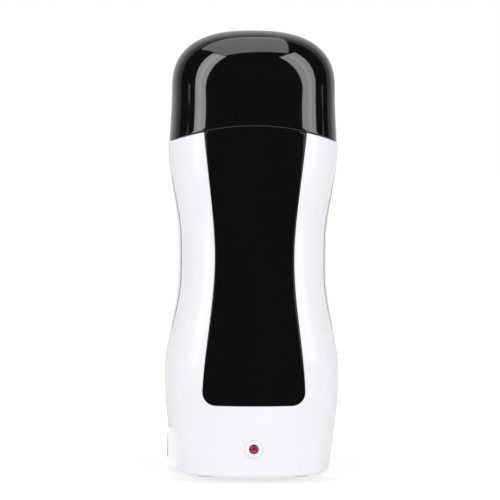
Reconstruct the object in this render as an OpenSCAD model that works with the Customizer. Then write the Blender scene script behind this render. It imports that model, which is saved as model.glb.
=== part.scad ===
// Hand-held wax warmer for roll-on cartridges, standing upright on its feet.
// The front looks along -Y, +X is to the right of the front, +Z is up.
// The origin is the middle of the footprint, on the table.

/* [Overall] */
// Height from the table to the top of the cap
total_h = 195; // [190:1:205]
// Thickness of the rubber feet under the floor
foot_h = 1; // [0.8:0.1:2]
// Wall of the white shells
wall = 2.6; // [2.2:0.1:2.8]
// Exponent of the oval section: 2 is an ellipse, more is squarer
section_n = 2.3; // [2.25:0.05:2.6]

/* [Body outline, seen from the front] */
// Width at the floor
base_w = 68.4; // [66:0.2:72]
// Width at the hips
hip_w = 76.8; // [76:0.2:80]
// Width of the front shell at the waist
waist_w = 63.2; // [62.4:0.2:67]
// Width at the shoulders
shoulder_w = 74.4; // [73:0.2:78]
// Width of the cap where its dome begins
dome_w = 71.8; // [71:0.2:74.4]
// How much further the rear shell stands out at the waist, each side
rear_proud = 1.2; // [0.6:0.1:1.6]

/* [Body outline, seen from the side] */
// Depth at the floor
base_d = 53; // [51:0.5:56]
// Depth at the hips
hip_d = 56; // [55:0.5:60]
// Depth at the waist
waist_d = 52; // [51.5:0.5:55]
// Depth at the shoulders
shoulder_d = 55; // [54:0.5:58]
// Depth of the cap where its dome begins
dome_d = 53.5; // [53:0.5:55]

/* [Levels above the table] */
// Lowest level of the hips
hip_low_z = 41; // [40:1:44]
// Highest level of the hips, where the crease is
hip_high_z = 49.5; // [47:0.5:52]
// Lower end of the waist
waist_low_z = 87.5; // [84:0.5:90]
// Upper end of the waist
waist_high_z = 103.5; // [100:0.5:106]

/* [Depths below the top of the cap] */
// Height of the dome
dome_h = 26; // [24:0.5:30]
// Seam under the cap, at the middle of the front
seam_down = 42.9; // [41.9:0.1:44]
// Shoulders
shoulder_down = 51.5; // [49:0.5:53]
// Underside of the mouth deck
deck_down = 58; // [57:0.5:59]

/* [Cap] */
// Wall of the cap
cap_wall = 2; // [1.6:0.1:2.2]
// Gap between the cap and the top of the neck that it slides on
neck_clear = 0.7; // [0.5:0.1:1]
// Radius of the arch of the seam
seam_r = 114; // [108:1:140]
// Gap at the seam
seam_gap = 0.4; // [0.3:0.1:0.8]
// Exponent of the dome: more is a squarer shoulder
dome_n = 2.55; // [2.4:0.05:3]

/* [Front panel] */
// Width of the panel at its foot
panel_foot_w = 44.6; // [40:0.2:46]
// Width of the panel at the waist
panel_waist_w = 34.1; // [30:0.1:36]
// Width of the panel at the shoulders
panel_top_w = 42.6; // [40:0.2:46]
// Level of the panel's lower edge
panel_z = 32.3; // [31:0.1:35]
// Radius of the panel's lower corners
panel_corner = 5.7; // [4:0.1:7]
// Thickness of the panel
panel_t = 1.4; // [1:0.1:1.6]
// Gap round the panel
panel_gap = 0.15; // [0.1:0.05:0.3]

/* [Cartridge and roller] */
// Width of the cartridge
cart_w = 52; // [50:0.5:52.5]
// Depth of the cartridge
cart_d = 32; // [30:0.5:32.5]
// Corner radius of the cartridge
cart_corner = 13; // [11:0.5:14]
// Wall of the cartridge
cart_wall = 1.3; // [1:0.1:2]
// From the rim of the cartridge down to the wax
wax_down = 14; // [6:1:80]
// Radius of the roller
roller_r = 10; // [8:0.5:10.5]
// Length of the roller
roller_l = 44; // [38:0.5:45]
// Radius of the roller's pins
roller_pin_r = 1.5; // [1.2:0.1:2]
// Running clearance of the roller's pins
pin_clear = 0.05; // [0.03:0.01:0.1]
// Height of the roller's axis over the mouth deck
roller_rise = 25; // [23:0.5:26]

/* [Heater] */
// Clearance of the cartridge in the well
well_clear = 0.5; // [0.4:0.1:0.8]
// Wall of the aluminium well
well_wall = 1.2; // [1:0.1:1.4]
// Width of the heating stones and their plates
stone_w = 20; // [16:0.5:20]
// Height of one heating stone
stone_h = 14; // [12:0.5:15]
// Thickness of a heating stone
stone_t = 2; // [1.6:0.1:2]
// Thickness of an electrode plate
electrode_t = 0.3; // [0.2:0.05:0.35]
// Thickness of the insulating film
film_t = 0.1; // [0.05:0.05:0.15]
// Thickness of the clamp plate
clamp_t = 0.8; // [0.6:0.1:0.9]

/* [Mouth collar and cradle] */
// Thickness of the mouth deck
deck_t = 3; // [2.6:0.1:3]
// Height of the neck over the deck, on which the cap slides
neck_h = 16; // [13:0.5:17]
// Wall of the neck
neck_wall = 2; // [1.5:0.1:2.5]
// Level of the underside of the cradle plate
cradle_z = 37; // [36:0.5:38]
// Thickness of the cradle plate
cradle_t = 2.5; // [2:0.1:3]
// Height of the cradle's rim over its plate
cradle_rim_h = 7; // [5:0.5:8]
// Depth of the ribs inside the shells that carry both
rib_d = 1.4; // [1:0.1:1.5]
// Height of one of these ribs
rib_h = 1.5; // [1.2:0.1:2]
// Gap between an inner piece and its seat
seat_gap = 0.3; // [0.2:0.05:0.4]

/* [Indicator lamp] */
// Level of the lamp
lamp_z = 13.6; // [12.4:0.1:15]
// Radius of the red lens
lens_r = 2.05; // [1.8:0.05:2.4]
// Radius of the raised ring round the lens
bezel_r = 4; // [3.6:0.1:4.6]
// How far the ring stands out of the front
bezel_rise = 0.6; // [0.4:0.1:0.9]

/* [Power inlet] */
// Outer face of the white inlet block, from the middle
block_x = 37; // [36.5:0.1:38]
// Depth of the block, front to back
block_d = 25; // [24:0.5:26]
// Top of the block
block_top = 21; // [19.5:0.5:21.5]
// Middle of the inlet
inlet_z = 11.6; // [11:0.1:12]
// Pin spacing
pin_pitch = 8.6; // [8.5:0.1:8.7]
// Pin radius
pin_r = 1.2; // [1.15:0.05:1.25]
// Length of the bare pins
pin_l = 9; // [8:0.5:10]
// Radius of the rounded ends of the cavity
cavity_r = 3.9; // [3.8:0.1:4]
// Depth of the cavity
cavity_l = 11; // [10.5:0.5:11]

/* [Screws and feet] */
// Radius of a screw's shank
screw_r = 1.4; // [1.3:0.05:1.5]
// Radius of a screw's head
head_r = 2.7; // [2.5:0.1:2.9]
// Height of a screw's head
head_h = 1.3; // [1.1:0.1:1.6]
// Distance of the case screws from the middle
screw_x = 16; // [15:0.5:17]
// Level of the case screws
screw_z = 27; // [26:0.5:27.5]
// Distance of the collar screws from the middle
collar_screw_x = 9; // [8:0.5:9.5]
// Radius of a foot
foot_r = 3.6; // [3:0.1:4]
// Distance of the feet from the middle, sideways
foot_x = 20.5; // [18:0.5:22]
// Distance of the feet from the middle, front to back
foot_y = 14.5; // [12:0.5:15]

/* [Hidden] */

white = [0.95, 0.95, 0.97];
gloss_black = [0.05, 0.05, 0.06];
round_fn = 48;

dome_z = total_h - dome_h;
seam_z = total_h - seam_down;
shoulder_z = total_h - shoulder_down;
deck_z = total_h - deck_down;

// Radius of the edge round the floor
edge_r = 1.6;
// Plane where the two shells meet
part_y = -4;
// Columns of facets round a half shell, and round the cap
shell_cols = 36;
cap_cols = 64;

// Smooth curves through knots: each knot is level, value, slope before and slope after
function blend(p, m, q, n, t) =
    p * (1 + t * t * (2 * t - 3)) + m * t * (1 - t) * (1 - t)
    + q * t * t * (3 - 2 * t) - n * t * t * (1 - t);
function along(k, z, i = 0) =
    z <= k[0][0] ? k[0][1] + k[0][2] * (z - k[0][0])
    : i + 1 == len(k) ? k[i][1] + k[i][3] * (z - k[i][0])
    : z > k[i + 1][0] ? along(k, z, i + 1)
    : let (h = k[i + 1][0] - k[i][0])
        blend(k[i][1], k[i][3] * h, k[i + 1][1], k[i + 1][2] * h, (z - k[i][0]) / h);

// Half width and half depth of the body at level z
function width_knots(proud) = [
    [foot_h, base_w / 2, 0.13, 0.13],
    [hip_low_z, hip_w / 2, 0, 0],
    [hip_high_z, hip_w / 2, 0, -0.13],
    [waist_low_z, waist_w / 2 + proud, -0.02, -0.02],
    [waist_high_z, waist_w / 2 + proud, 0.02, 0.02],
    [shoulder_z, shoulder_w / 2, 0, 0],
    [dome_z, dome_w / 2, 0, 0]];
depth_knots = [
    [foot_h, base_d / 2, 0.06, 0.06],
    [hip_low_z, hip_d / 2, 0, 0],
    [hip_high_z, hip_d / 2, 0, -0.03],
    [waist_low_z, waist_d / 2, 0, 0],
    [waist_high_z, waist_d / 2, 0, 0],
    [shoulder_z, shoulder_d / 2, 0, 0],
    [dome_z, dome_d / 2, 0, 0]];
function half_w(z, proud = 0) = along(width_knots(proud), z);
function half_d(z) = along(depth_knots, z);

// Point of an oval section with half width a and half depth b
function signed_pow(v, e) = sign(v) * pow(abs(v), e);
function oval(a, b, t) = [a * signed_pow(cos(t), 2 / section_n), b * signed_pow(sin(t), 2 / section_n)];
function oval_y(a, b, x) = b * pow(1 - pow(min(abs(x) / a, 1), section_n), 1 / section_n);

// Level of the seam under the cap at distance x from the middle
function seam_drop(x) = seam_r - sqrt(seam_r * seam_r - x * x);
// The rows of facets above this level bend with the seam
bend_z = deck_z + 1;
function bent(z, x) = z - seam_drop(x) * max(0, z - bend_z) / (seam_z - bend_z);

// Faces of a grid of rows by cols points that starts at index at, seen from outside as
// anticlockwise where the columns run to the left; flip turns them round
function quads(rows, cols, at = 0, flip = false, ring = false) = [
    for (r = [0 : rows - 2], c = [0 : (ring ? cols - 1 : cols - 2)])
        let (a = at + r * cols + c, b = at + r * cols + (c + 1) % cols)
        each flip
            ? [[a, b, b + cols], [a, b + cols, a + cols]]
            : [[a, b + cols, b], [a, a + cols, b + cols]]];
function turned(faces, turn) = [for (f = faces) turn ? [for (i = [len(f) - 1 : -1 : 0]) f[i]] : f];

// Rows of a half shell: outer level, inner level, outer inset and inner inset
floor_rows = 4;
waist_rows = 17;
top_rows = 3;
edge_rows = [for (k = [0 : 3]) let (q = 30 * k)
    [edge_r * (1 - cos(q)), edge_r * (1 - sin(q))]];
cradle_rib_z = cradle_z - rib_h;
deck_rib_z = deck_z - rib_h;
function plain_rows(z0, z1, n) = [for (k = [1 : n]) let (z = z0 + (z1 - z0) * k / (n + 1)) [z, z, 0, wall]];
function rib_rows(z0, z1) = [
    [z0 - 0.3, z0, 0, wall], [z0 + 0.3, z0, 0, wall + rib_d],
    [z1 - 0.3, z1, 0, wall + rib_d], [z1 + 0.3, z1, 0, wall]];
shell_rows = concat(
    [for (e = edge_rows) [foot_h + e[0], foot_h + wall + e[0], e[1], wall + e[1]]],
    plain_rows(foot_h + wall + edge_r, cradle_rib_z, floor_rows),
    rib_rows(cradle_rib_z, cradle_z),
    plain_rows(cradle_z, deck_rib_z, waist_rows),
    rib_rows(deck_rib_z, deck_z),
    plain_rows(deck_z, seam_z, top_rows),
    [[seam_z, seam_z, 0, wall]]);

// One half shell between the parting plane and its outside; side is -1 in front and 1 behind
module half_shell(side, proud) {
    rows = len(shell_rows);
    cols = shell_cols + 1;
    function start(b) = -side * asin(pow(-part_y / b, section_n / 2));
    nominal = start(shoulder_d / 2);
    function point(z, inset, c) =
        let (n = nominal + (180 - 2 * nominal) * c / shell_cols,
            h = bent(z, shoulder_w / 2 * pow(abs(cos(n)), 2 / section_n)),
            b = half_d(h) - inset,
            s = start(b),
            p = oval(half_w(h, proud) - inset, b, s + (180 - 2 * s) * c / shell_cols))
        [p.x, side * p.y, h];
    outer = [for (r = shell_rows, c = [0 : shell_cols]) point(r[0], r[2], c)];
    inner = [for (r = shell_rows, c = [0 : shell_cols]) point(r[1], r[3], c)];
    n = rows * cols;
    last = (rows - 1) * cols;
    rim = [for (c = [0 : shell_cols - 1]) each [
        [last + c, n + last + c + 1, last + c + 1], [last + c, n + last + c, n + last + c + 1]]];
    // the strips on the parting plane, split so that the ribs stay simple triangles
    function strip(c, flip) = [for (r = [0 : rows - 2])
        let (o = r * cols + c, p = o + cols, i = n + o, j = n + p,
            inward = shell_rows[r][3] <= shell_rows[r + 1][3])
        each turned(inward ? [[i, o, p], [i, p, j]] : [[j, i, o], [j, o, p]], flip)];
    floor_out = [for (c = [0 : shell_cols]) c];
    floor_in = [for (c = [shell_cols : -1 : 0]) n + c];
    sill = [[0, shell_cols, n + shell_cols], [0, n + shell_cols, n]];
    polyhedron(concat(outer, inner), turned(concat(
        quads(rows, cols), quads(rows, cols, n, true), rim,
        strip(0, true), strip(shell_cols, false), [floor_out], [floor_in], sill), side < 0));
}

// The cap: rings from the seam to the crown, outside and inside
skirt_rows = 5;
dome_rows = 12;
function cap_ring(u, inset) = u <= 1
    ? [half_w(seam_z + u * (dome_z - seam_z)) - inset, half_d(seam_z + u * (dome_z - seam_z)) - inset]
    : let (q = pow(cos(90 * (u - 1)), 2 / dome_n)) [(dome_w / 2 - inset) * q, (dome_d / 2 - inset) * q];
function cap_level(u, inset, x) = u <= 1
    ? seam_z + seam_gap + u * (dome_z - seam_z - seam_gap) - (1 - u) * seam_drop(x)
    : dome_z + (total_h - dome_z - inset) * pow(sin(90 * (u - 1)), 2 / dome_n);
cap_steps = concat([for (k = [0 : skirt_rows]) k / skirt_rows],
    [for (k = [1 : dome_rows - 1]) 1 + k / dome_rows], [1.975]);
module cap() {
    n = len(cap_steps) * cap_cols;
    function ring(u, inset) = [for (c = [0 : cap_cols - 1])
        let (r = cap_ring(u, inset), p = oval(r.x, r.y, -360 * c / cap_cols))
        [p.x, p.y, cap_level(u, inset, shoulder_w / 2 * p.x / r.x)]];
    points = concat([for (u = cap_steps) each ring(u, 0)], [for (u = cap_steps) each ring(u, cap_wall)],
        [[0, 0, total_h], [0, 0, total_h - cap_wall]]);
    rim = [for (c = [0 : cap_cols - 1]) let (d = (c + 1) % cap_cols)
        each [[c, d, n + d], [c, n + d, n + c]]];
    crown = [for (c = [0 : cap_cols - 1]) let (d = (c + 1) % cap_cols, t = n - cap_cols)
        each [[t + c, 2 * n, t + d], [n + t + c, n + t + d, 2 * n + 1]]];
    color(gloss_black) polyhedron(points, turned(concat(
        quads(len(cap_steps), cap_cols, ring = true), quads(len(cap_steps), cap_cols, n, true, ring = true),
        rim, crown), true));
}

// The front panel, or with grow the pocket that it lies in: a curved slab between two insets
panel_cols = 12;
panel_rows = 18;
panel_knots = [
    [panel_z, panel_foot_w / 2, 0, 0],
    [(waist_low_z + waist_high_z) / 2, panel_waist_w / 2, 0, 0],
    [shoulder_z, panel_top_w / 2, 0.09, 0.09]];
module panel_slab(grow, out, deep, over) {
    corner = panel_corner + grow;
    foot = panel_z - grow;
    steps = concat(
        [for (k = [0 : 4]) let (q = 22.5 * k) [foot + corner * (1 - cos(q)), corner * (1 - sin(q))]],
        [for (k = [1 : panel_rows]) [foot + corner + (seam_z - foot - corner) * k / panel_rows, 0]],
        over > 0 ? [[seam_z + over, 0]] : []);
    function point(s, c, inset) =
        let (x = (along(panel_knots, s[0]) + grow - s[1]) * (2 * c / panel_cols - 1), z = bent(s[0], x))
        [x, -oval_y(half_w(z) - inset, half_d(z) - inset, x), z];
    cols = panel_cols + 1;
    rows = len(steps);
    n = rows * cols;
    last = n - cols;
    sides = [for (r = [0 : rows - 2]) let (a = r * cols, b = a + panel_cols) each [
        [a, n + a, n + a + cols], [a, n + a + cols, a + cols],
        [b, n + b + cols, n + b], [b, b + cols, n + b + cols]]];
    ends = [for (c = [0 : panel_cols - 1]) each [
        [c, c + 1, n + c + 1], [c, n + c + 1, n + c],
        [last + c, n + last + c + 1, last + c + 1], [last + c, n + last + c, n + last + c + 1]]];
    polyhedron(concat([for (s = steps, c = [0 : panel_cols]) point(s, c, out)],
        [for (s = steps, c = [0 : panel_cols]) point(s, c, deep)]),
        concat(quads(rows, cols, 0), quads(rows, cols, n, true), sides, ends));
}

// Levels and places that several pieces share
deck_top = deck_z + deck_t;
well_top = deck_z + deck_t / 2;
deck_a = half_w(deck_z) - wall - seat_gap;
deck_b = half_d(deck_z) - wall - seat_gap;
neck_top = deck_top + neck_h;
neck_a = min(deck_a, half_w(neck_top) - cap_wall - neck_clear);
neck_b = min(deck_b, half_d(neck_top) - cap_wall - neck_clear);
well_back_y = cart_d / 2 + well_clear + well_wall;
collar_lug_in = 2.4;
collar_lug_w = 7;
collar_lug_h = 8;
collar_lug_y = deck_b - collar_lug_in;
collar_pad_r = head_r + 0.8;
collar_screw_drop = 4.5;
collar_screw_z = deck_z - collar_screw_drop;
collar_pad_y = collar_lug_y + seat_gap;
collar_pad_t = 1.9;
collar_seat_y = collar_pad_y + collar_pad_t;

// Clearance of pressed fits, and of a screw in its pilot hole
fit = 0.05;
// Clearance of a screw in a plain hole, and of its head in a counterbore
hole_free = 0.15;
head_free = 0.2;

// The indicator lamp and its board, behind the front
lamp_y = -half_d(lamp_z);
bezel_seat = 0.3;
barrel_r = lens_r + 0.9;
lens_ball_r = 2.8;
led_r = 1.5;
led_l = 3.2;
led_flange_r = 1.9;
led_pitch = 2;
led_lead_r = 0.25;
barrel_end_y = lamp_y + wall + 0.8;
board_y0 = -17.1;
board_t = 1.6;
board_w = 21;
board_below = 8.1;
board_above = 7.9;
board_low_z = lamp_z - board_below;
board_high_z = lamp_z + board_above;
board_screw_x = 8;
board_screw_rise = 5.4;
board_screw_z = lamp_z + board_screw_rise;
board_screw_r = 0.9;
board_screw_l = 6;
board_head_r = 1.7;
board_head_h = 1.1;
board_post_r = 2.3;
// Parts on the back of the board: bodies, lead pitches and how far from the lamp they lie
resistor_r = 1.15;
resistor_l = 6.3;
resistor_pitch = 9.6;
resistor_x = 3;
resistor_drop = 4.1;
diode_r = 1.35;
diode_l = 4.6;
diode_pitch = 8.6;
diode_rise = 2.9;
axial_lead_r = 0.3;
axial_gap = 0.1;

// Case screws: they enter from behind, stop in the posts of the front shell
post_r = head_r + 1.2;
nut_r = screw_r + 1.7;
case_seat_y = 6;
case_screw_l = 19;

// Plain helpers
module along_x(x0, x1, y, z, r, fn = round_fn)
    translate([x0, y, z]) rotate([0, 90, 0]) cylinder(h = x1 - x0, r = r, $fn = fn);
module along_y(x, y0, y1, z, r, fn = round_fn)
    translate([x, y0, z]) rotate([-90, 0, 0]) cylinder(h = y1 - y0, r = r, $fn = fn);
module box(lo, hi) translate(lo) cube(hi - lo);
module rounded(w, d, r) {
    square([w - 2 * r, d], center = true);
    square([w, d - 2 * r], center = true);
    for (x = [-1, 1], y = [-1, 1]) translate([x * (w / 2 - r), y * (d / 2 - r)]) circle(r, $fn = round_fn);
}
module cartridge_outline(grow) rounded(cart_w + 2 * grow, cart_d + 2 * grow, cart_corner + grow);
module rise(z0, z1) translate([0, 0, z0]) linear_extrude(z1 - z0) children();
module oval_outline(a, b, n = 96) polygon([for (c = [0 : n - 1]) oval(a, b, 360 * c / n)]);

// End of a post that stands on the inside of a shell at x and z, embedded in its wall
function wall_y(x, z, r) = (oval_y(half_w(z) - wall, half_d(z) - wall, max(0, abs(x) - r))
    + oval_y(half_w(z), half_d(z), abs(x) + r)) / 2;

module front_shell() color(white) difference() {
    union() {
        half_shell(-1, 0);
        for (x = [-screw_x, screw_x]) along_y(x, -wall_y(x, screw_z, nut_r), part_y, screw_z, nut_r);
        for (x = [-board_screw_x, board_screw_x])
            along_y(x, -wall_y(x, board_screw_z, board_post_r), board_y0, board_screw_z, board_post_r);
    }
    panel_slab(panel_gap, -1, panel_t + 0.1, 2);
    for (x = [-screw_x, screw_x])
        along_y(x, case_seat_y - case_screw_l - 1, part_y + 1, screw_z, screw_r + fit);
    for (x = [-board_screw_x, board_screw_x])
        along_y(x, board_y0 - board_screw_l + 1, board_y0 + 1, board_screw_z, board_screw_r + fit);
    along_y(0, lamp_y - 2, lamp_y + bezel_seat, lamp_z, bezel_r + 0.1);
    along_y(0, lamp_y - 2, lamp_y + wall + 2, lamp_z, barrel_r + fit);
    inlet_opening();
}

module rear_shell() color(white) difference() {
    union() {
        half_shell(1, rear_proud);
        for (x = [-screw_x, screw_x]) along_y(x, part_y, wall_y(x, screw_z, post_r), screw_z, post_r);
        for (x = [-collar_screw_x, collar_screw_x])
            along_y(x, collar_pad_y, wall_y(x, collar_screw_z, collar_pad_r), collar_screw_z, collar_pad_r);
    }
    for (x = [-screw_x, screw_x]) {
        along_y(x, part_y - 1, case_seat_y + 1, screw_z, screw_r + hole_free);
        along_y(x, case_seat_y, hip_d, screw_z, head_r + head_free);
    }
    for (x = [-collar_screw_x, collar_screw_x]) {
        along_y(x, collar_pad_y - 1, collar_seat_y + 1, collar_screw_z, screw_r + hole_free);
        along_y(x, collar_seat_y, hip_d, collar_screw_z, head_r + head_free);
    }
    inlet_opening();
}

module front_panel() color(gloss_black) panel_slab(0, 0, panel_t, 0);

// Screw with a pan head and a cross recess; the head's underside is at the origin, shank along -Y
module screw(l, sr, hr, hh) difference() {
    union() {
        along_y(0, 0, hh, 0, hr);
        along_y(0, -l, 0, 0, sr);
    }
    for (q = [0, 90]) rotate([0, q, 0]) box([-hr * 0.55, hh * 0.45, -0.3], [hr * 0.55, hh + 1, 0.3]);
}
module case_screws() color("silver")
    for (x = [-screw_x, screw_x]) translate([x, case_seat_y, screw_z])
        screw(case_screw_l, screw_r, head_r, head_h);
module collar_screws() color("silver")
    for (x = [-collar_screw_x, collar_screw_x])
        translate([x, collar_seat_y, collar_screw_z])
            screw(collar_seat_y - well_back_y - 1.3, screw_r, head_r, head_h);

// Indicator lamp: a raised ring, a lens, a lamp on its board
module lamp_bezel() color(white) translate([0, 0, lamp_z]) rotate([90, 0, 0])
    rotate_extrude($fn = round_fn) {
        h = -lamp_y - bezel_seat;
        e = bezel_rise + bezel_seat;
        difference() {
            translate([lens_r + fit, h]) square([bezel_r - lens_r - fit, e]);
            translate([bezel_r - e, h]) difference() { square(2 * e); circle(e, $fn = round_fn); }
        }
        translate([lens_r + fit, -barrel_end_y]) square([barrel_r - lens_r - fit, h + barrel_end_y + 0.1]);
    }
module lamp_lens() color("firebrick") translate([0, 0, lamp_z]) rotate([90, 0, 0])
    rotate_extrude($fn = round_fn) {
        top = -lamp_y + bezel_rise - 0.7;
        translate([0, -barrel_end_y - 1]) square([barrel_r, 1]);
        translate([0, -barrel_end_y - 0.5]) square([lens_r, top + barrel_end_y + 0.5]);
        intersection() {
            translate([0, top - sqrt(lens_ball_r * lens_ball_r - lens_r * lens_r)])
                circle(lens_ball_r, $fn = round_fn);
            translate([0, top - 0.2]) square([lens_r, lens_ball_r]);
        }
    }
module lamp_led() color("salmon") {
    translate([0, 0, lamp_z]) rotate([90, 0, 0]) rotate_extrude($fn = round_fn) {
        translate([0, -board_y0]) square([led_flange_r, 0.8]);
        translate([0, -board_y0]) square([led_r, led_l]);
        translate([0, -board_y0 + led_l]) intersection() {
            circle(led_r, $fn = round_fn);
            square(2 * led_r);
        }
    }
    for (x = [-led_pitch / 2, led_pitch / 2])
        along_y(x, board_y0 - 0.1, board_y0 + board_t + 0.8, lamp_z, led_lead_r);
}
module lamp_board() color("darkgreen") difference() {
    box([-board_w / 2, board_y0, board_low_z], [board_w / 2, board_y0 + board_t, board_high_z]);
    for (x = [-board_screw_x, board_screw_x])
        along_y(x, board_y0 - 1, board_y0 + board_t + 1, board_screw_z, board_screw_r + hole_free);
    for (x = [-led_pitch / 2, led_pitch / 2])
        along_y(x, board_y0 - 1, board_y0 + board_t + 1, lamp_z, led_lead_r + hole_free);
}
module board_screws() color("silver")
    for (x = [-board_screw_x, board_screw_x])
        translate([x, board_y0 + board_t, board_screw_z])
            screw(board_screw_l, board_screw_r, board_head_r, board_head_h);
// A part with a round body of length l and two leads at a pitch, lying on the back of the board
module axial(x0, z, l, r, pitch) {
    y = board_y0 + board_t + r + axial_gap;
    along_x(x0 - l / 2, x0 + l / 2, y, z, r);
    along_x(x0 - pitch / 2, x0 + pitch / 2, y, z, axial_lead_r);
    for (x = [x0 - pitch / 2, x0 + pitch / 2]) {
        along_y(x, board_y0 + board_t, y, z, axial_lead_r);
        translate([x, y, z]) sphere(axial_lead_r, $fn = 24);
    }
}
module board_resistor() color("tan")
    axial(resistor_x, lamp_z - resistor_drop, resistor_l, resistor_r, resistor_pitch);
module board_diode() color("dimgray") axial(0, lamp_z + diode_rise, diode_l, diode_r, diode_pitch);

// Power inlet on the left side: the block stands on the floor with its flange, inside the shells
block_in_x = 25.6;
block_low_z = foot_h + 1.2;
block_corner = 3;
block_gap = 0.15;
flange_l = 1.1;
flange_out = 1.2;
flange_low_z = foot_h + wall;
flange_top_z = block_top + flange_out;
shroud_t = 0.8;
shroud_lip = 1.6;
socket_proud = 0.2;
socket_out_x = block_x + socket_proud;
socket_back_t = 2;
cavity_floor_x = socket_out_x - cavity_l;
socket_in_x = cavity_floor_x - socket_back_t;
pin_root_r = pin_r - 0.3;
pin_collar_r = pin_r + 0.8;
pin_collar_l = 0.8;
pin_tail_r = 0.8;
pin_tail_l = 3;
pin_tail_x = socket_in_x - pin_tail_l;
// Outline of the block in the plane across X, drawn as height and depth
module block_outline(grow, low, top = block_top)
    translate([(top + low) / 2, 0]) rounded(top - low + 2 * grow, block_d + 2 * grow, block_corner + grow);
module across_x(x0, x1) translate([-x1, 0, 0]) rotate([0, -90, 0]) mirror([0, 0, 1])
    linear_extrude(x1 - x0) children();
// The hole in both shells runs down through the floor, with its rounded corners below it
module inlet_opening() across_x(block_in_x - block_gap, hip_w) block_outline(block_gap, -2 * block_corner);
module socket_outline(r) translate([inlet_z, 0]) {
    for (y = [-pin_pitch / 2, pin_pitch / 2]) translate([0, y]) circle(r, $fn = round_fn);
    square([2 * r, pin_pitch], center = true);
}
module inlet_block() color(white) difference() {
    union() {
        across_x(block_in_x, block_x) block_outline(0, block_low_z);
        across_x(block_in_x, block_in_x + flange_l)
            translate([(flange_low_z + flange_top_z) / 2, 0])
                rounded(flange_top_z - flange_low_z, block_d + 2 * flange_out, block_corner);
    }
    across_x(block_in_x - 1, block_x + 1) socket_outline(cavity_r + shroud_t + fit);
}
module inlet_socket() color(gloss_black) difference() {
    union() {
        across_x(socket_in_x, socket_out_x) socket_outline(cavity_r + shroud_t);
        across_x(socket_in_x, block_in_x) socket_outline(cavity_r + shroud_t + shroud_lip);
    }
    across_x(cavity_floor_x, socket_out_x + 1) socket_outline(cavity_r);
    for (y = [-pin_pitch / 2, pin_pitch / 2])
        along_x(-socket_out_x, -socket_in_x + 1, y, inlet_z, pin_root_r + fit / 2);
}
module inlet_pins() color("gainsboro") for (y = [-pin_pitch / 2, pin_pitch / 2]) {
    along_x(-cavity_floor_x - pin_l, -cavity_floor_x, y, inlet_z, pin_r);
    along_x(-cavity_floor_x - 0.5, -socket_in_x + 0.1, y, inlet_z, pin_root_r);
    along_x(-socket_in_x, -socket_in_x + pin_collar_l, y, inlet_z, pin_collar_r);
    along_x(-socket_in_x + 0.1, -pin_tail_x, y, inlet_z, pin_tail_r);
}

// Mouth collar: the deck on the ribs of the shells, its neck for the cap and its two lugs
module mouth_collar() color(gloss_black) difference() {
    union() {
        rise(deck_z, deck_top) oval_outline(deck_a, deck_b);
        rise(deck_top - 0.5, neck_top) difference() {
            oval_outline(neck_a, neck_b);
            oval_outline(neck_a - neck_wall, neck_b - neck_wall);
        }
        for (x = [-collar_screw_x, collar_screw_x])
            box([x - collar_lug_w / 2, well_back_y + seat_gap, deck_z - collar_lug_h],
                [x + collar_lug_w / 2, collar_lug_y, deck_z + 0.5]);
    }
    rise(deck_z - 1, deck_top + 1) cartridge_outline(well_clear);
    rise(deck_z - collar_lug_h - 1, well_top + 0.1) cartridge_outline(well_clear + well_wall + 0.1);
    for (x = [-collar_screw_x, collar_screw_x])
        along_y(x, well_back_y, collar_lug_y + 1, collar_screw_z, screw_r + fit);
}

// Cradle under the well, on the lower ribs
cradle_top = cradle_z + cradle_t;
cradle_rim_t = 2;
rim_in = well_clear + well_wall + seat_gap;
cradle_a = half_w(cradle_z) - wall - seat_gap;
cradle_b = half_d(cradle_z) - wall - seat_gap;
wire_hole_r = 1.2;
wire_hole_web = 1;
// Place of a hole near the rear edge of the plate, at distance x from the middle
function wire_hole_y(x) = oval_y(cradle_a, cradle_b, x + wire_hole_r) - wire_hole_web - wire_hole_r;
module cradle() color("ivory") difference() {
    union() {
        rise(cradle_z, cradle_top) oval_outline(cradle_a, cradle_b);
        rise(cradle_top - 0.5, cradle_top + cradle_rim_h) cartridge_outline(rim_in + cradle_rim_t);
    }
    rise(cradle_top, cradle_top + cradle_rim_h + 1) cartridge_outline(rim_in);
    for (x = [tab_x, live_x]) rise(cradle_z - 1, cradle_top + cradle_rim_h + 1)
        translate([-x, wire_hole_y(x)]) circle(wire_hole_r, $fn = round_fn);
}

// Heater: the well, and behind it two stones between their plates
stack_t = 2 * film_t + 2 * electrode_t + stone_t;
pad_h = 6;
pad_w = 12;
pad_low_z = cradle_top + cradle_rim_h + 4;
stone_gap = 2;
stones_z = pad_low_z + pad_h / 2 + stone_gap;
stones_top = stones_z + 2 * stone_h + stone_gap;
pad_high_z = stones_top + 1 + pad_h / 2;
tab_w = 3;
tab_h = 6;
film_side = 0.2;
film_end = 0.6;
fuse_r = stack_t / 2 - 0.1;
fuse_z = pad_high_z + pad_h / 2 + fuse_r + 3;
fuse_y = well_back_y + stack_t / 2;
fuse_l = 9;
lead_end_x = 9.5;
tab_x = stone_w / 2 - 1.7;
live_x = stone_w / 2 + 3.2;
clamp_y = well_back_y + stack_t;
module heater_well() color("lightgray") difference() {
    union() {
        rise(cradle_top, well_top) cartridge_outline(well_clear + well_wall);
        for (z = [pad_low_z, pad_high_z])
            box([-pad_w / 2, well_back_y - 0.5, z - pad_h / 2], [pad_w / 2, clamp_y, z + pad_h / 2]);
    }
    rise(cradle_top + well_wall, well_top + 1) cartridge_outline(well_clear);
    for (z = [pad_low_z, pad_high_z]) along_y(0, well_back_y - 0.4, clamp_y + 1, z, screw_r + fit);
}
module heating_stones() color("dimgray") for (k = [0, 1])
    translate([-stone_w / 2, well_back_y + film_t + electrode_t, stones_z + k * (stone_h + stone_gap)])
        cube([stone_w, stone_t, stone_h]);
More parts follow.
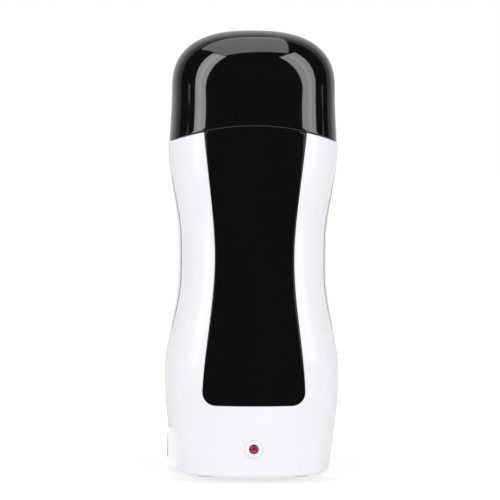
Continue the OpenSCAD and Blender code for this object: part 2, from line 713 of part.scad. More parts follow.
module electrode(y, side) {
    box([-stone_w / 2, y, stones_z], [stone_w / 2, y + electrode_t, stones_top]);
    box([side * tab_x - tab_w / 2, y, stones_z - tab_h],
        [side * tab_x + tab_w / 2, y + electrode_t, stones_z + 0.1]);
}
module front_electrode() color("goldenrod") electrode(well_back_y + film_t, 1);
module rear_electrode() color("goldenrod") electrode(clamp_y - film_t - electrode_t, -1);
module insulating_film() color("darkorange") difference() {
    inside = stone_w / 2 + film_side;
    box([-inside - film_t, well_back_y, stones_z - film_end],
        [inside + film_t, clamp_y, stones_top + film_end]);
    box([-inside, well_back_y + film_t, stones_z - 2], [inside, clamp_y - film_t, stones_top + 2]);
}
module heater_clamp() color("silver") difference() {
    union() {
        box([-pad_w / 2, clamp_y, pad_low_z - pad_h / 2], [pad_w / 2, clamp_y + clamp_t, stones_z]);
        box([-stone_w / 2, clamp_y, stones_z - 0.5], [stone_w / 2, clamp_y + clamp_t, fuse_z + fuse_r + 1]);
    }
    for (z = [pad_low_z, pad_high_z])
        along_y(0, clamp_y - 1, clamp_y + clamp_t + 1, z, screw_r + hole_free);
}
module clamp_screws() color("silver") for (z = [pad_low_z, pad_high_z])
    translate([0, clamp_y + clamp_t, z]) screw(clamp_t + stack_t + 0.2, screw_r, head_r, head_h - 0.1);
module thermal_fuse() color("lightsteelblue") {
    along_x(-fuse_l / 2, fuse_l / 2, fuse_y, fuse_z, fuse_r);
    along_x(-lead_end_x, lead_end_x, fuse_y, fuse_z, 0.4);
}

// Wires: a tube swept along a smooth line through round points
wire_r = 0.6;
// Gap between the end of a wire and its terminal, which the solder fills
wire_gap = 0.1;
function weave(p, q, r, s, t) = 0.5 * (2 * q + (r - p) * t + (2 * p - 5 * q + 4 * r - s) * t * t
    + (3 * q - p - 3 * r + s) * t * t * t);
function smooth(route, steps = 4) = let (n = len(route) - 1) concat(
    [for (i = [0 : n - 1], k = [0 : steps - 1])
        weave(i == 0 ? 2 * route[0] - route[1] : route[i - 1], route[i], route[i + 1],
            i + 1 == n ? 2 * route[n] - route[n - 1] : route[i + 2], k / steps)], [route[n]]);
function unit(v) = v / norm(v);
// Square to the direction t, as near to u as it can be, so that the tube does not twist
function squared(u, t) = unit(u - (u * t) * t);
module tube(route, r, sides = 8) {
    path = smooth(route);
    n = len(path);
    last = len(route) - 1;
    way = [for (i = [0 : n - 1])
        i == 0 ? unit(route[1] - route[0])
        : i == n - 1 ? unit(route[last] - route[last - 1])
        : unit(path[i + 1] - path[i - 1])];
    across = [for (i = 0, u = squared([0, 0.3, 1], way[0]); i < n; i = i + 1,
        u = squared(u, way[min(i, n - 1)])) u];
    rings = [for (i = [0 : n - 1], k = [0 : sides - 1])
        path[i] + r * (cos(360 * k / sides) * across[i] + sin(360 * k / sides) * cross(way[i], across[i]))];
    ends = [[for (k = [0 : sides - 1]) k], [for (k = [sides - 1 : -1 : 0]) (n - 1) * sides + k]];
    polyhedron(rings, concat(quads(n, sides, ring = true), ends));
}
tail_x = -pin_tail_x + wire_gap;
pin_y = pin_pitch / 2;
lead_x = lead_end_x + wire_gap;
tab_y = clamp_y - film_t - electrode_t / 2;
tab_low_z = stones_z - tab_h - wire_gap;
fuse_tab_x = tab_x + tab_w / 2 + wire_gap;
fuse_tab_y = well_back_y + film_t + electrode_t + wire_r / 2;
fuse_tab_z = stones_z - 4;
side_y = fuse_y + 0.2;
stones_mid = stones_z + stone_h;
live_hole_y = wire_hole_y(live_x);
tab_hole_y = wire_hole_y(tab_x);
module live_wire() color("saddlebrown") tube([
    [tail_x, -pin_y, inlet_z], [tail_x + 3, -pin_y, inlet_z], [tail_x + 8, 0, inlet_z + 5.4],
    [-live_x + 3.2, live_hole_y - 9.4, cradle_z - 15], [-live_x + 2.2, live_hole_y - 2.4, cradle_z - 7],
    [-live_x, live_hole_y, cradle_z], [-live_x, live_hole_y, cradle_top + 2],
    [-live_x, well_back_y + 2, pad_low_z + 4], [-live_x, side_y, stones_mid], [-live_x, side_y, fuse_z - 6],
    [-live_x + 0.8, fuse_y, fuse_z - 1], [-lead_x - 1, fuse_y, fuse_z], [-lead_x, fuse_y, fuse_z]], wire_r);
module neutral_wire() color("steelblue") tube([
    [tail_x, pin_y, inlet_z], [tail_x + 3, pin_y, inlet_z], [tail_x + 12, pin_y + 4.7, inlet_z + 3.4],
    [-tab_x + 1.3, tab_hole_y - 5.3, cradle_z - 15], [-tab_x, tab_hole_y - 0.2, cradle_z - 6],
    [-tab_x, tab_hole_y, cradle_z], [-tab_x, tab_hole_y, cradle_top + 2],
    [-tab_x, tab_hole_y - 0.8, tab_low_z - 2.5], [-tab_x, tab_y, tab_low_z - 0.7],
    [-tab_x, tab_y, tab_low_z]], wire_r);
module fuse_wire() color("white") tube([
    [lead_x, fuse_y, fuse_z], [lead_x + 1, fuse_y, fuse_z], [live_x - 0.8, fuse_y, fuse_z - 1.5],
    [live_x, side_y, fuse_z - 8], [live_x, side_y, stones_mid], [live_x, fuse_y, stones_z + 2],
    [live_x - 1, fuse_tab_y + 0.2, stones_z - 2], [fuse_tab_x + 1, fuse_tab_y, fuse_tab_z],
    [fuse_tab_x, fuse_tab_y, fuse_tab_z]], wire_r);
module lamp_wires() color("darkred") {
    x = -socket_in_x + pin_collar_l + 0.8;
    low = inlet_z - pin_tail_r - wire_gap;
    y = board_y0 + board_t + wire_gap;
    z = lamp_z - 6.2;
    tube([[-7, y, z], [-7, y + 1.2, z], [-12, -10, z - 0.4], [-17, -7, z], [x + 0.4, -pin_y, low - 1.8],
        [x, -pin_y, low - 0.6], [x, -pin_y, low]], wire_r);
    tube([[-4, y, z], [-4, y + 1.2, z], [-6, -6, z - 0.8], [-11, 0, z - 0.8], [-17, 3.4, z],
        [x + 0.4, pin_y, low - 1.8], [x, pin_y, low - 0.6], [x, pin_y, low]], wire_r);
}

// Feet: soft discs under the floor
module rubber_feet() color("black") for (x = [-foot_x, foot_x], y = [-foot_y, foot_y])
    translate([x, y, 0]) rotate_extrude($fn = round_fn)
        polygon([[0, 0], [foot_r - 0.4, 0], [foot_r, 0.4], [foot_r, foot_h], [0, foot_h]]);

// Cartridge: stands in the well, its head rests on the mouth deck
cart_low_z = cradle_top + well_wall + 0.4;
cart_top_z = deck_top + seat_gap;
module cartridge_body() color("gainsboro") difference() {
    rise(cart_low_z, cart_top_z) cartridge_outline(0);
    rise(cart_low_z + cart_wall, cart_top_z + 1) cartridge_outline(-cart_wall);
}
module wax_fill() color("peru")
    rise(cart_low_z + cart_wall + 0.1, cart_top_z - wax_down) cartridge_outline(-cart_wall - 0.1);

// Roller head: a rim on the deck, a tapered housing and two ears with blind bores for the pins
head_rim_t = 2;
head_rim_out = 1.6;
roller_z = deck_top + roller_rise;
roller_gap = 0.4;
ear_r = roller_r - 1.6;
ear_t = 3;
ear_in = roller_l / 2 + roller_gap;
ear_out = ear_in + ear_t;
housing_low_d = cart_d - 3;
housing_top_d = 2 * roller_r + 5;
housing_top_z = roller_z - 3;
housing_corner = 6;
slot_l = roller_l - 8;
slot_d = 9;
slot_corner = 3;
pin_end = ear_in + ear_t - 0.9;
roller_edge = 0.8;
module housing_profile() polygon([
    [cart_top_z, -housing_low_d / 2], [housing_top_z, -housing_top_d / 2],
    [housing_top_z, housing_top_d / 2], [cart_top_z, housing_low_d / 2]]);
module roller_head() color("whitesmoke") difference() {
    union() {
        rise(cart_top_z, cart_top_z + head_rim_t) cartridge_outline(head_rim_out);
        intersection() {
            union() {
                across_x(-ear_out, ear_out) housing_profile();
                for (x = [-ear_out, ear_in]) {
                    across_x(x, x + ear_t) translate([roller_z, 0]) circle(ear_r, $fn = round_fn);
                    across_x(x, x + ear_t)
                        translate([roller_z - ear_r / 2, 0]) square([ear_r, 2 * ear_r], center = true);
                }
            }
            rise(cart_top_z, total_h) rounded(2 * ear_out, housing_low_d, housing_corner);
        }
    }
    along_x(-ear_in, ear_in, 0, roller_z, roller_r + roller_gap);
    along_x(-pin_end - 0.2, pin_end + 0.2, 0, roller_z, roller_pin_r + pin_clear);
    rise(cart_top_z - 1, roller_z) rounded(slot_l, slot_d, slot_corner);
}
module roller() color("lightgray")
    translate([0, 0, roller_z]) rotate([90, 0, 90]) rotate_extrude($fn = 96) polygon([
        [0, -pin_end], [roller_pin_r, -pin_end], [roller_pin_r, -roller_l / 2],
        [roller_r - roller_edge, -roller_l / 2], [roller_r, -roller_l / 2 + roller_edge],
        [roller_r, roller_l / 2 - roller_edge], [roller_r - roller_edge, roller_l / 2],
        [roller_pin_r, roller_l / 2], [roller_pin_r, pin_end], [0, pin_end]]);

front_shell();
rear_shell();
front_panel();
lamp_bezel();
lamp_lens();
lamp_led();
lamp_board();
board_resistor();
board_diode();
board_screws();
inlet_block();
inlet_socket();
inlet_pins();
mouth_collar();
collar_screws();
cradle();
heater_well();
heating_stones();
front_electrode();
rear_electrode();
insulating_film();
heater_clamp();
clamp_screws();
thermal_fuse();
live_wire();
neutral_wire();
fuse_wire();
lamp_wires();
case_screws();
rubber_feet();
cartridge_body();
wax_fill();
roller_head();
roller();
cap();
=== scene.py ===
"""Looks of a hand-held warmer for roll-on wax cartridges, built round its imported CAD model."""

import math

import bmesh
import bpy
from mathutils import Matrix, Quaternion, Vector


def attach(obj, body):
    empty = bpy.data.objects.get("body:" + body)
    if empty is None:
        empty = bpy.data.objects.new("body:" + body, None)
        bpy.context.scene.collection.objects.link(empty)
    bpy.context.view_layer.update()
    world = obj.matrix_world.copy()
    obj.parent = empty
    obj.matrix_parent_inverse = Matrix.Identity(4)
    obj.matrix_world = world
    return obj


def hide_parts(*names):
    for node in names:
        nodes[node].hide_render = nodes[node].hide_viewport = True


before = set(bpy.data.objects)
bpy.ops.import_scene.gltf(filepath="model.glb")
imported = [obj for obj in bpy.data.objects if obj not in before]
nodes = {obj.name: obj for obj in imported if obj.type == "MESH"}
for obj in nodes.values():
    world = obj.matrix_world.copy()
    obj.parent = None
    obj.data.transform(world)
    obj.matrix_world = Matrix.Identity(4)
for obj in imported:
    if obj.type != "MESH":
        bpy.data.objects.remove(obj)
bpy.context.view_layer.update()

# Sizes in millimetres, the same as in the part's source
TOTAL_H, FOOT_H, WALL, SECTION_N, EDGE_R, PART_Y, REAR_PROUD = 195, 1, 2.6, 2.3, 1.6, -4, 1.2
DOME_Z, SEAM_Z, SHOULDER_Z, DECK_Z = TOTAL_H - 26, TOTAL_H - 42.9, TOTAL_H - 51.5, TOTAL_H - 58
HIP_LOW_Z, HIP_HIGH_Z, WAIST_LOW_Z, WAIST_HIGH_Z = 41, 49.5, 87.5, 103.5
BASE_W, HIP_W, WAIST_W, SHOULDER_W, DOME_W = 68.4, 76.8, 63.2, 74.4, 71.8
BASE_D, HIP_D, WAIST_D, SHOULDER_D, DOME_D = 53, 56, 52, 55, 53.5
SEAM_R, SEAM_GAP, DOME_N, CAP_WALL, NECK_CLEAR = 114, 0.4, 2.55, 2, 0.7
PANEL_Z, PANEL_CORNER, PANEL_T, PANEL_GAP, PANEL_UNDER = 32.3, 5.7, 1.4, 0.15, 0.1
PANEL_FOOT_W, PANEL_WAIST_W, PANEL_TOP_W = 44.6, 34.1, 42.6
LAMP_Z, LENS_R, LENS_BALL_R, BEZEL_R, BEZEL_RISE, BEZEL_SEAT = 13.6, 2.05, 2.8, 4, 0.6, 0.3
BARREL_WALL, BARREL_BEHIND = 0.9, 0.8
BLOCK_X, BLOCK_IN_X, BLOCK_D, BLOCK_TOP, BLOCK_LOW, BLOCK_CORNER = 37, 25.6, 25, 21, 2.2, 3
FLANGE_L, FLANGE_OUT = 1.1, 1.2
INLET_Z, PIN_PITCH, PIN_R, PIN_L = 11.6, 8.6, 1.2, 9
PIN_ROOT_R, PIN_COLLAR_R, PIN_COLLAR_L, PIN_TAIL_R, PIN_TAIL_L = PIN_R - 0.3, PIN_R + 0.8, 0.8, 0.8, 3
CAVITY_R, CAVITY_L, SHROUD_T, SHROUD_LIP, SOCKET_OUT_X, SOCKET_BACK_T = 3.9, 11, 0.8, 1.6, 37.2, 2
FIT, HOLE_FREE, HEAD_FREE, SEAT_GAP = 0.05, 0.15, 0.2, 0.3
SCREW_R, HEAD_R, HEAD_H = 1.4, 2.7, 1.3
SCREW_X, SCREW_Z, CASE_SEAT_Y, CASE_SCREW_L, POST_R = 16, 27, 6, 19, HEAD_R + 1.2
COLLAR_SCREW_X, COLLAR_SCREW_Z, COLLAR_PAD_R, COLLAR_PAD_T = 9, DECK_Z - 4.5, HEAD_R + 0.8, 1.9
LUG_IN, LUG_W, LUG_H, SCREW_SHORT = 2.4, 7, 8, 1.3
FOOT_R, FOOT_X, FOOT_Y = 3.6, 20.5, 14.5
DECK_T, NECK_H, NECK_WALL = 3, 16, 2
CART_W, CART_D, CART_CORNER, CART_WALL, WELL_CLEAR, WELL_WALL, WELL_FREE = 52, 32, 13, 1.3, 0.5, 1.2, 0.1
CRADLE_TOP = 37 + 2.5
ROLLER_R, ROLLER_L, ROLLER_PIN_R, ROLLER_RISE, ROLLER_GAP = 10, 44, 1.5, 25, 0.4
EAR_T, EAR_R, PIN_SHORT, PIN_FREE = 3, ROLLER_R - 1.6, 0.9, 0.2
HEAD_RIM_T, HEAD_RIM_OUT, HOUSING_DOWN, HOUSING_CORNER = 2, 1.6, 3, 6
HOUSING_LOW_D, HOUSING_TOP_D, SLOT_L, SLOT_D, SLOT_CORNER = CART_D - 3, 2 * ROLLER_R + 5, ROLLER_L - 8, 9, 3

# Sizes in millimetres that only show here: drawn gaps and the easing of edges
BLOCK_GAP, RING_GAP, PARTING_EASE, PANEL_EASE, CAP_EASE = 0.05, 0.03, 0.22, 0.35, 0.45
BLOCK_EASE, SHROUD_EASE, DECK_EASE, NECK_EASE, CART_EASE, HEAD_EASE = 0.5, 0.2, 0.3, 0.5, 1, 0.35

# Outline of the body


def blend(p, m, q, n, t):
    """A smooth curve from p to q with the slopes m and n at its ends."""
    return (p * (1 + t * t * (2 * t - 3)) + m * t * (1 - t) ** 2
            + q * t * t * (3 - 2 * t) - n * t * t * (1 - t))


def along(knots, z):
    """Value at level z of the curve through knots of level, value, slope before and slope after."""
    if z <= knots[0][0]:
        return knots[0][1] + knots[0][2] * (z - knots[0][0])
    for low, high in zip(knots, knots[1:]):
        if z <= high[0]:
            h = high[0] - low[0]
            return blend(low[1], low[3] * h, high[1], high[2] * h, (z - low[0]) / h)
    return knots[-1][1] + knots[-1][3] * (z - knots[-1][0])


def half_w(z, proud=0):
    """Half the width at level z. At the waist the rear shell stands proud of the front one."""
    return along([
        (FOOT_H, BASE_W / 2, 0.13, 0.13),
        (HIP_LOW_Z, HIP_W / 2, 0, 0),
        (HIP_HIGH_Z, HIP_W / 2, 0, -0.13),
        (WAIST_LOW_Z, WAIST_W / 2 + proud, -0.02, -0.02),
        (WAIST_HIGH_Z, WAIST_W / 2 + proud, 0.02, 0.02),
        (SHOULDER_Z, SHOULDER_W / 2, 0, 0),
        (DOME_Z, DOME_W / 2, 0, 0)], z)


def half_d(z):
    """Half the depth at level z."""
    return along([
        (FOOT_H, BASE_D / 2, 0.06, 0.06),
        (HIP_LOW_Z, HIP_D / 2, 0, 0),
        (HIP_HIGH_Z, HIP_D / 2, 0, -0.03),
        (WAIST_LOW_Z, WAIST_D / 2, 0, 0),
        (WAIST_HIGH_Z, WAIST_D / 2, 0, 0),
        (SHOULDER_Z, SHOULDER_D / 2, 0, 0),
        (DOME_Z, DOME_D / 2, 0, 0)], z)


def signed_pow(v, e):
    """The power of a number's size, with the number's sign."""
    return math.copysign(abs(v) ** e, v)


def oval(a, b, t):
    """Point at angle t on the oval section with half sizes a and b."""
    return a * signed_pow(math.cos(t), 2 / SECTION_N), b * signed_pow(math.sin(t), 2 / SECTION_N)


def oval_y(a, b, x):
    """Depth of the oval section with half sizes a and b, at distance x from its middle."""
    return b * (1 - min(abs(x) / a, 1) ** SECTION_N) ** (1 / SECTION_N)


def seam_drop(x):
    """How far the cap's seam has dropped at distance x from the middle."""
    return SEAM_R - math.sqrt(SEAM_R * SEAM_R - x * x)


def bent(z, x):
    """Level z at distance x from the middle: near the cap the levels bend with its seam."""
    bend_z = DECK_Z + 1
    return z - seam_drop(x) * max(0, z - bend_z) / (SEAM_Z - bend_z)


# Forms
SHARP, CREASE = 50, 32  # degrees between faces: past these an edge is rounded, or drawn as an edge
FLAT_AREA = 6e-6  # square metres: a many-sided face over this stays flat


def grid(cols, rows):
    """A flat grid of one by one, ready to be wrapped onto a form."""
    bm = bmesh.new()
    bmesh.ops.create_grid(bm, x_segments=cols, y_segments=rows, size=0.5,
                          matrix=Matrix.Translation((0.5, 0.5, 0)))
    return bm


def pulled(bm, step):
    """Closes a flat form with a second side, one step away."""
    made = bmesh.ops.extrude_face_region(bm, geom=bm.faces[:])["geom"]
    bmesh.ops.translate(bm, vec=step, verts=[v for v in made if isinstance(v, bmesh.types.BMVert)])
    return bm


def slab(cols, rows):
    """The grid with a second side one unit over it."""
    return pulled(grid(cols, rows), (0, 0, 1))


def outwards(bm):
    """Turns all faces of a closed form to its outside."""
    bmesh.ops.recalc_face_normals(bm, faces=bm.faces)
    if bm.calc_volume(signed=True) < 0:
        bmesh.ops.reverse_faces(bm, faces=bm.faces)
    return bm


def wrap(bm, place):
    """Moves each point of a flat form to place(u, v, w)."""
    for v in bm.verts:
        v.co = place(*v.co)
    bmesh.ops.remove_doubles(bm, verts=bm.verts, dist=1e-4)
    bmesh.ops.dissolve_degenerate(bm, edges=bm.edges, dist=1e-4)
    return outwards(bm)


def eased(bm, edges, size, segments, clamp=False):
    """Rounds some edges of a form."""
    bmesh.ops.bevel(bm, geom=edges, offset=size, offset_type="OFFSET", affect="EDGES", segments=segments,
                    profile=0.5, material=-1, clamp_overlap=clamp)
    return bm


def round_edges(bm, size, segments=2):
    """Rounds the edges that turn by more than SHARP degrees."""
    edges = [e for e in bm.edges if e.is_manifold and e.calc_face_angle() > math.radians(SHARP)]
    return eased(bm, edges, size, segments, clamp=True)


def arc(cx, cz, r, start, end, steps=6):
    """Points of a profile round a corner, with the angles in degrees."""
    angles = [math.radians(start + (end - start) * k / steps) for k in range(steps + 1)]
    return [(cx + r * math.cos(q), cz + r * math.sin(q)) for q in angles]


def turned(profile, steps=72):
    """A turned piece from the half profile of its section, points of radius and height."""
    bm = bmesh.new()
    verts = [bm.verts.new((r, 0, z)) for r, z in profile]
    edges = [bm.edges.new(pair) for pair in zip(verts, verts[1:])]
    bmesh.ops.spin(bm, geom=verts + edges, cent=(0, 0, 0), axis=(0, 0, 1), angle=2 * math.pi, steps=steps,
                   use_merge=True)
    bmesh.ops.remove_doubles(bm, verts=bm.verts, dist=1e-4)
    return outwards(bm)


def set_at(bm, x=0, y=0, z=0, axis="Z"):
    """Turns a form's own +Z to an axis and moves it to its place."""
    to = {"Z": (0, 0, 1), "-Y": (0, -1, 0), "Y": (0, 1, 0), "-X": (-1, 0, 0), "X": (1, 0, 0)}[axis]
    turn = Vector((0, 0, 1)).rotation_difference(Vector(to)).to_matrix().to_4x4()
    bmesh.ops.transform(bm, matrix=Matrix.Translation((x, y, z)) @ turn, verts=bm.verts)
    return bm


def rod(r, low, high, **at):
    """A plain rod between two distances along its axis."""
    return set_at(turned([(0, low), (r, low), (r, high), (0, high)], 48), **at)


def block(low, high):
    """A plain box between two corners."""
    bm = bmesh.new()
    low, high = Vector(low), Vector(high)
    bmesh.ops.create_cube(bm, size=1,
                          matrix=Matrix.Translation((low + high) / 2) @ Matrix.Diagonal((*(high - low), 1)))
    return bm


def bar(low, high, axis, corner, segments=10):
    """A box whose edges along one axis are rounded."""
    bm = block(low, high)
    lengthwise = [e for e in bm.edges if abs((e.verts[0].co - e.verts[1].co)[axis]) > 1e-3]
    return eased(bm, lengthwise, corner, segments)


def extruded(bm, low, high):
    """Turns a flat form into a closed one between two levels."""
    bmesh.ops.translate(bm, vec=(0, 0, low), verts=bm.verts)
    return outwards(pulled(bm, (0, 0, high - low)))


def oval_plate(a, b, low, high):
    """A plate of the body's oval section between two levels."""
    bm = bmesh.new()
    bmesh.ops.create_circle(bm, cap_ends=True, segments=160, radius=1)
    for v in bm.verts:
        v.co.xy = oval(a, b, math.atan2(v.co.y, v.co.x))
    return extruded(bm, low, high)


def cartridge_plate(grow, low, high):
    """The outline of the cartridge, grown by a clearance, between two levels."""
    w, d = CART_W / 2 + grow, CART_D / 2 + grow
    return bar((-w, -d, low), (w, d, high), 2, CART_CORNER + grow, 16)


def stadium(r, low, high):
    """A plug of the inlet's section, two rounds joined, that points along -X between two distances."""
    bm = bmesh.new()
    half_step = Matrix.Rotation(math.pi / 64, 4, "Z")
    bmesh.ops.create_circle(bm, cap_ends=True, segments=64, radius=r, matrix=half_step)
    for v in bm.verts:
        v.co.y += math.copysign(PIN_PITCH / 2, v.co.y)
    extruded(bm, low, high)
    sideways = Matrix.Translation((0, 0, INLET_Z)) @ Matrix.Rotation(-math.pi / 2, 4, "Y")
    bmesh.ops.transform(bm, matrix=sideways, verts=bm.verts)
    return bm


def prism(section, low, high):
    """A form whose section, points of depth and level, runs along X between two distances."""
    bm = bmesh.new()
    bm.faces.new([bm.verts.new((low, y, z)) for y, z in section])
    return outwards(pulled(bm, (high - low, 0, 0)))


def bare_object(name, bm):
    """An object of a form, which the form doesn't outlive."""
    mesh = bpy.data.meshes.new(name)
    bm.to_mesh(mesh)
    bm.free()
    made = bpy.data.objects.new(name, mesh)
    bpy.context.scene.collection.objects.link(made)
    return made


def cut(bm, tools, kind="DIFFERENCE"):
    """Cuts closed forms out of a closed form, or joins or crosses it with them."""
    body = bare_object("blank", bm)
    for tool in tools:
        cutter = bare_object("cutter", tool)
        step = body.modifiers.new("cut", "BOOLEAN")
        step.operation, step.solver, step.object = kind, "EXACT", cutter
        bpy.context.view_layer.update()
        solved = body.evaluated_get(bpy.context.evaluated_depsgraph_get())
        done = bpy.data.meshes.new_from_object(solved)
        body.modifiers.clear()
        body.data = done
        bpy.data.objects.remove(cutter)
    result = bmesh.new()
    result.from_mesh(body.data)
    bpy.data.objects.remove(body)
    bmesh.ops.remove_doubles(result, verts=result.verts, dist=1e-4)
    bmesh.ops.dissolve_degenerate(result, edges=result.edges, dist=1e-4)
    return result


def together(*forms):
    """One form of several that stay apart."""
    whole = bmesh.new()
    for form in forms:
        step = bpy.data.meshes.new("step")
        form.to_mesh(step)
        form.free()
        whole.from_mesh(step)
        bpy.data.meshes.remove(step)
    return whole


def piece(name, bm, body, finish, node):
    """Finishes a form in millimetres as the piece for a node, smooth but for its creases and flats."""
    bmesh.ops.scale(bm, vec=(0.001, 0.001, 0.001), verts=bm.verts)
    for face in bm.faces:
        face.smooth = len(face.verts) < 9 or face.calc_area() < FLAT_AREA
    for edge in bm.edges:
        edge.smooth = edge.is_manifold and edge.calc_face_angle() < math.radians(CREASE)
    made = bare_object(name, bm)
    made.data.materials.append(finish)
    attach(made, body)
    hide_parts(node)


# Finishes


class Value:
    """A socket of a shader's node. Arithmetic on it adds the Math nodes."""

    def __init__(self, tree, socket):
        self.tree, self.socket = tree, socket

    def math(self, operation, *terms, clamp=False):
        """A Math node over the terms, which are values or numbers."""
        node = self.tree.nodes.new("ShaderNodeMath")
        node.operation, node.use_clamp = operation, clamp
        for entry, term in zip(node.inputs, terms):
            if isinstance(term, Value):
                self.tree.links.new(term.socket, entry)
            else:
                entry.default_value = term
        return Value(self.tree, node.outputs[0])

    def __add__(self, other):
        return self.math("ADD", self, other)

    def __radd__(self, other):
        return self.math("ADD", other, self)

    def __sub__(self, other):
        return self.math("SUBTRACT", self, other)

    def __rsub__(self, other):
        return self.math("SUBTRACT", other, self)

    def __mul__(self, other):
        return self.math("MULTIPLY", self, other)

    def __rmul__(self, other):
        return self.math("MULTIPLY", other, self)

    def __pow__(self, other):
        return self.math("POWER", self, other)

    def over(self, low, high):
        """0 below low, 1 above high, and straight between."""
        return self.math("MULTIPLY", self - low, 1 / (high - low), clamp=True)


class Nodes:
    """The nodes round one shader. All but the Math nodes come from node()."""

    def __init__(self, owner, shader):
        owner.use_nodes = True
        self.tree = owner.node_tree
        self.shader = self.tree.nodes[shader]

    def node(self, kind, settings=(), out=0, numbered=(), **named):
        """Adds a node of a type: its settings first, then the values or links of its sockets."""
        node = self.tree.nodes.new("ShaderNode" + kind)
        for key, setting in dict(settings).items():
            setattr(node, key, setting)
        for key, value in dict(numbered).items():
            self.enter(node.inputs[key], value)
        for key, value in named.items():
            self.enter(node.inputs[key.replace("_", " ")], value)
        return Value(self.tree, node.outputs[out])

    def enter(self, socket, value):
        """Links a value to a socket, or writes a number, a vector or an opaque colour in it."""
        if isinstance(value, Value):
            self.tree.links.new(value.socket, socket)
        elif isinstance(value, tuple) and len(socket.default_value) == 4:
            socket.default_value = (*value, 1)
        else:
            socket.default_value = value

    def give(self, **sockets):
        """Fills sockets of the shader itself."""
        for key, value in sockets.items():
            self.enter(self.shader.inputs[key.replace("_", " ")], value)


class Finish(Nodes):
    """A material whose shader's plain values come with it."""

    def __init__(self, name, **plain):
        self.material = bpy.data.materials.new(name)
        super().__init__(self.material, "Principled BSDF")
        self.give(**plain)

    def place(self, stretch=(1, 1, 1)):
        """Points of the object, in metres, stretched along its axes."""
        at = self.node("TexCoord", out="Object")
        return self.node("Mapping", Vector=at, Scale=stretch)

    def noise(self, scale, detail=2, roughness=0.5, stretch=(1, 1, 1)):
        """A cloudy pattern from 0 to 1, finer with more scale."""
        return self.node("TexNoise", Vector=self.place(stretch), Scale=scale, Detail=detail,
                         Roughness=roughness)

    def tint(self, amount, low, high):
        """A colour between two, by a factor."""
        return self.node("Mix", {"data_type": "RGBA"}, 2, {6: low, 7: high}, Factor=amount)

    def bump(self, height, depth):
        """Lets a height, in millimetres of depth, bend the light."""
        return self.node("Bump", Distance=depth * 0.001, Height=height)


def moulded_gloss(name, low, high, gloss=0.16):
    """Polished moulded plastic: a breath of tone, a faint ripple of the mould and slightly uneven gloss."""
    made = Finish(name)
    tone = made.noise(28, 3, 0.55)
    sheen = made.noise(160, 4, 0.6)
    made.give(Base_Color=made.tint(tone.over(0.35, 0.65), low, high),
              Roughness=gloss + (sheen - 0.5) * 0.06,
              Normal=made.bump(made.noise(420, 2, 0.5), 0.006))
    return made.material


def handled_gloss(name, low, high, gloss=0.07, mirror=0.5, index=1.5):
    """Dark polished plastic: fine hair scratches and dust that only show in its gloss."""
    made = Finish(name, Specular_IOR_Level=mirror, IOR=index)
    dust = made.noise(2600, 2, 0.6).over(0.66, 0.74)
    smear = made.noise(45, 4, 0.6, (1, 1, 0.35))
    hair = made.noise(1400, 1, 0.4, (1, 1, 0.02)).over(0.62, 0.7)
    made.give(Base_Color=made.tint(dust * 0.6 + smear * 0.4, low, high),
              Roughness=gloss + smear * 0.03 + hair * 0.05 + dust * 0.08,
              Normal=made.bump(made.noise(60, 2, 0.4), 0.01))
    return made.material


def soft_plastic(name, low, high, grain=900, depth=0.02, rough=0.5):
    """Matte moulded plastic or rubber with a fine spark-eroded grain."""
    made = Finish(name)
    texture = made.noise(grain, 3, 0.6)
    made.give(Base_Color=made.tint(made.noise(60, 3).over(0.3, 0.7), low, high),
              Roughness=rough + (texture - 0.5) * 0.2,
              Normal=made.bump(texture, depth))
    return made.material


def metal(name, low, high, rough=0.3, stretch=(1, 1, 0.03)):
    """Metal with a fine grain drawn along one axis."""
    made = Finish(name, Metallic=1.0)
    line = made.noise(1500, 3, 0.6, stretch)
    made.give(Base_Color=made.tint(made.noise(90, 3).over(0.3, 0.7), low, high),
              Roughness=rough + (line - 0.5) * 0.16,
              Normal=made.bump(line, 0.004))
    return made.material


WHITE = moulded_gloss("gloss_white", (0.867, 0.86, 0.905), (0.887, 0.88, 0.918))
# painted light: a brighter copy of the shell's white, for the block's front that the left lamp lights
LIT_BLOCK_WHITE = moulded_gloss("block_white_painted_light", (0.94, 0.935, 0.965), (0.96, 0.955, 0.98))
PANEL = handled_gloss("panel_black", (0.0032, 0.0032, 0.0035), (0.0055, 0.0055, 0.0058))
CAP = handled_gloss("smoked_cap", (0.0015, 0.0015, 0.0015), (0.0035, 0.0032, 0.003), 0.045, 1.0, 1.75)
SOCKET = soft_plastic("socket_black", (0.012, 0.01, 0.009), (0.03, 0.024, 0.022), rough=0.32)


def lens_red():
    """The clear red of the lens, with painted shade that darkens it towards its rim, and a high polish."""
    made = Finish("lens_red", Specular_IOR_Level=1.0, IOR=1.6)
    centred = made.node("Mapping", Vector=made.node("TexCoord", out="Object"), Scale=(1, 0, 1),
                        Location=(0, 0, -LAMP_Z / 1000))
    off_axis = made.node("VectorMath", {"operation": "LENGTH"}, out=1, Vector=centred)
    cloud = made.noise(900, 3, 0.6)
    # painted shade: the red darkens with the distance from the lens's axis, towards its rim
    made.give(Base_Color=made.tint(off_axis.over(0.0011, 0.002), (0.33, 0.02, 0.033), (0.17, 0.008, 0.015)),
              Roughness=0.02 + cloud * 0.05,
              Normal=made.bump(cloud, 0.002))
    return made.material


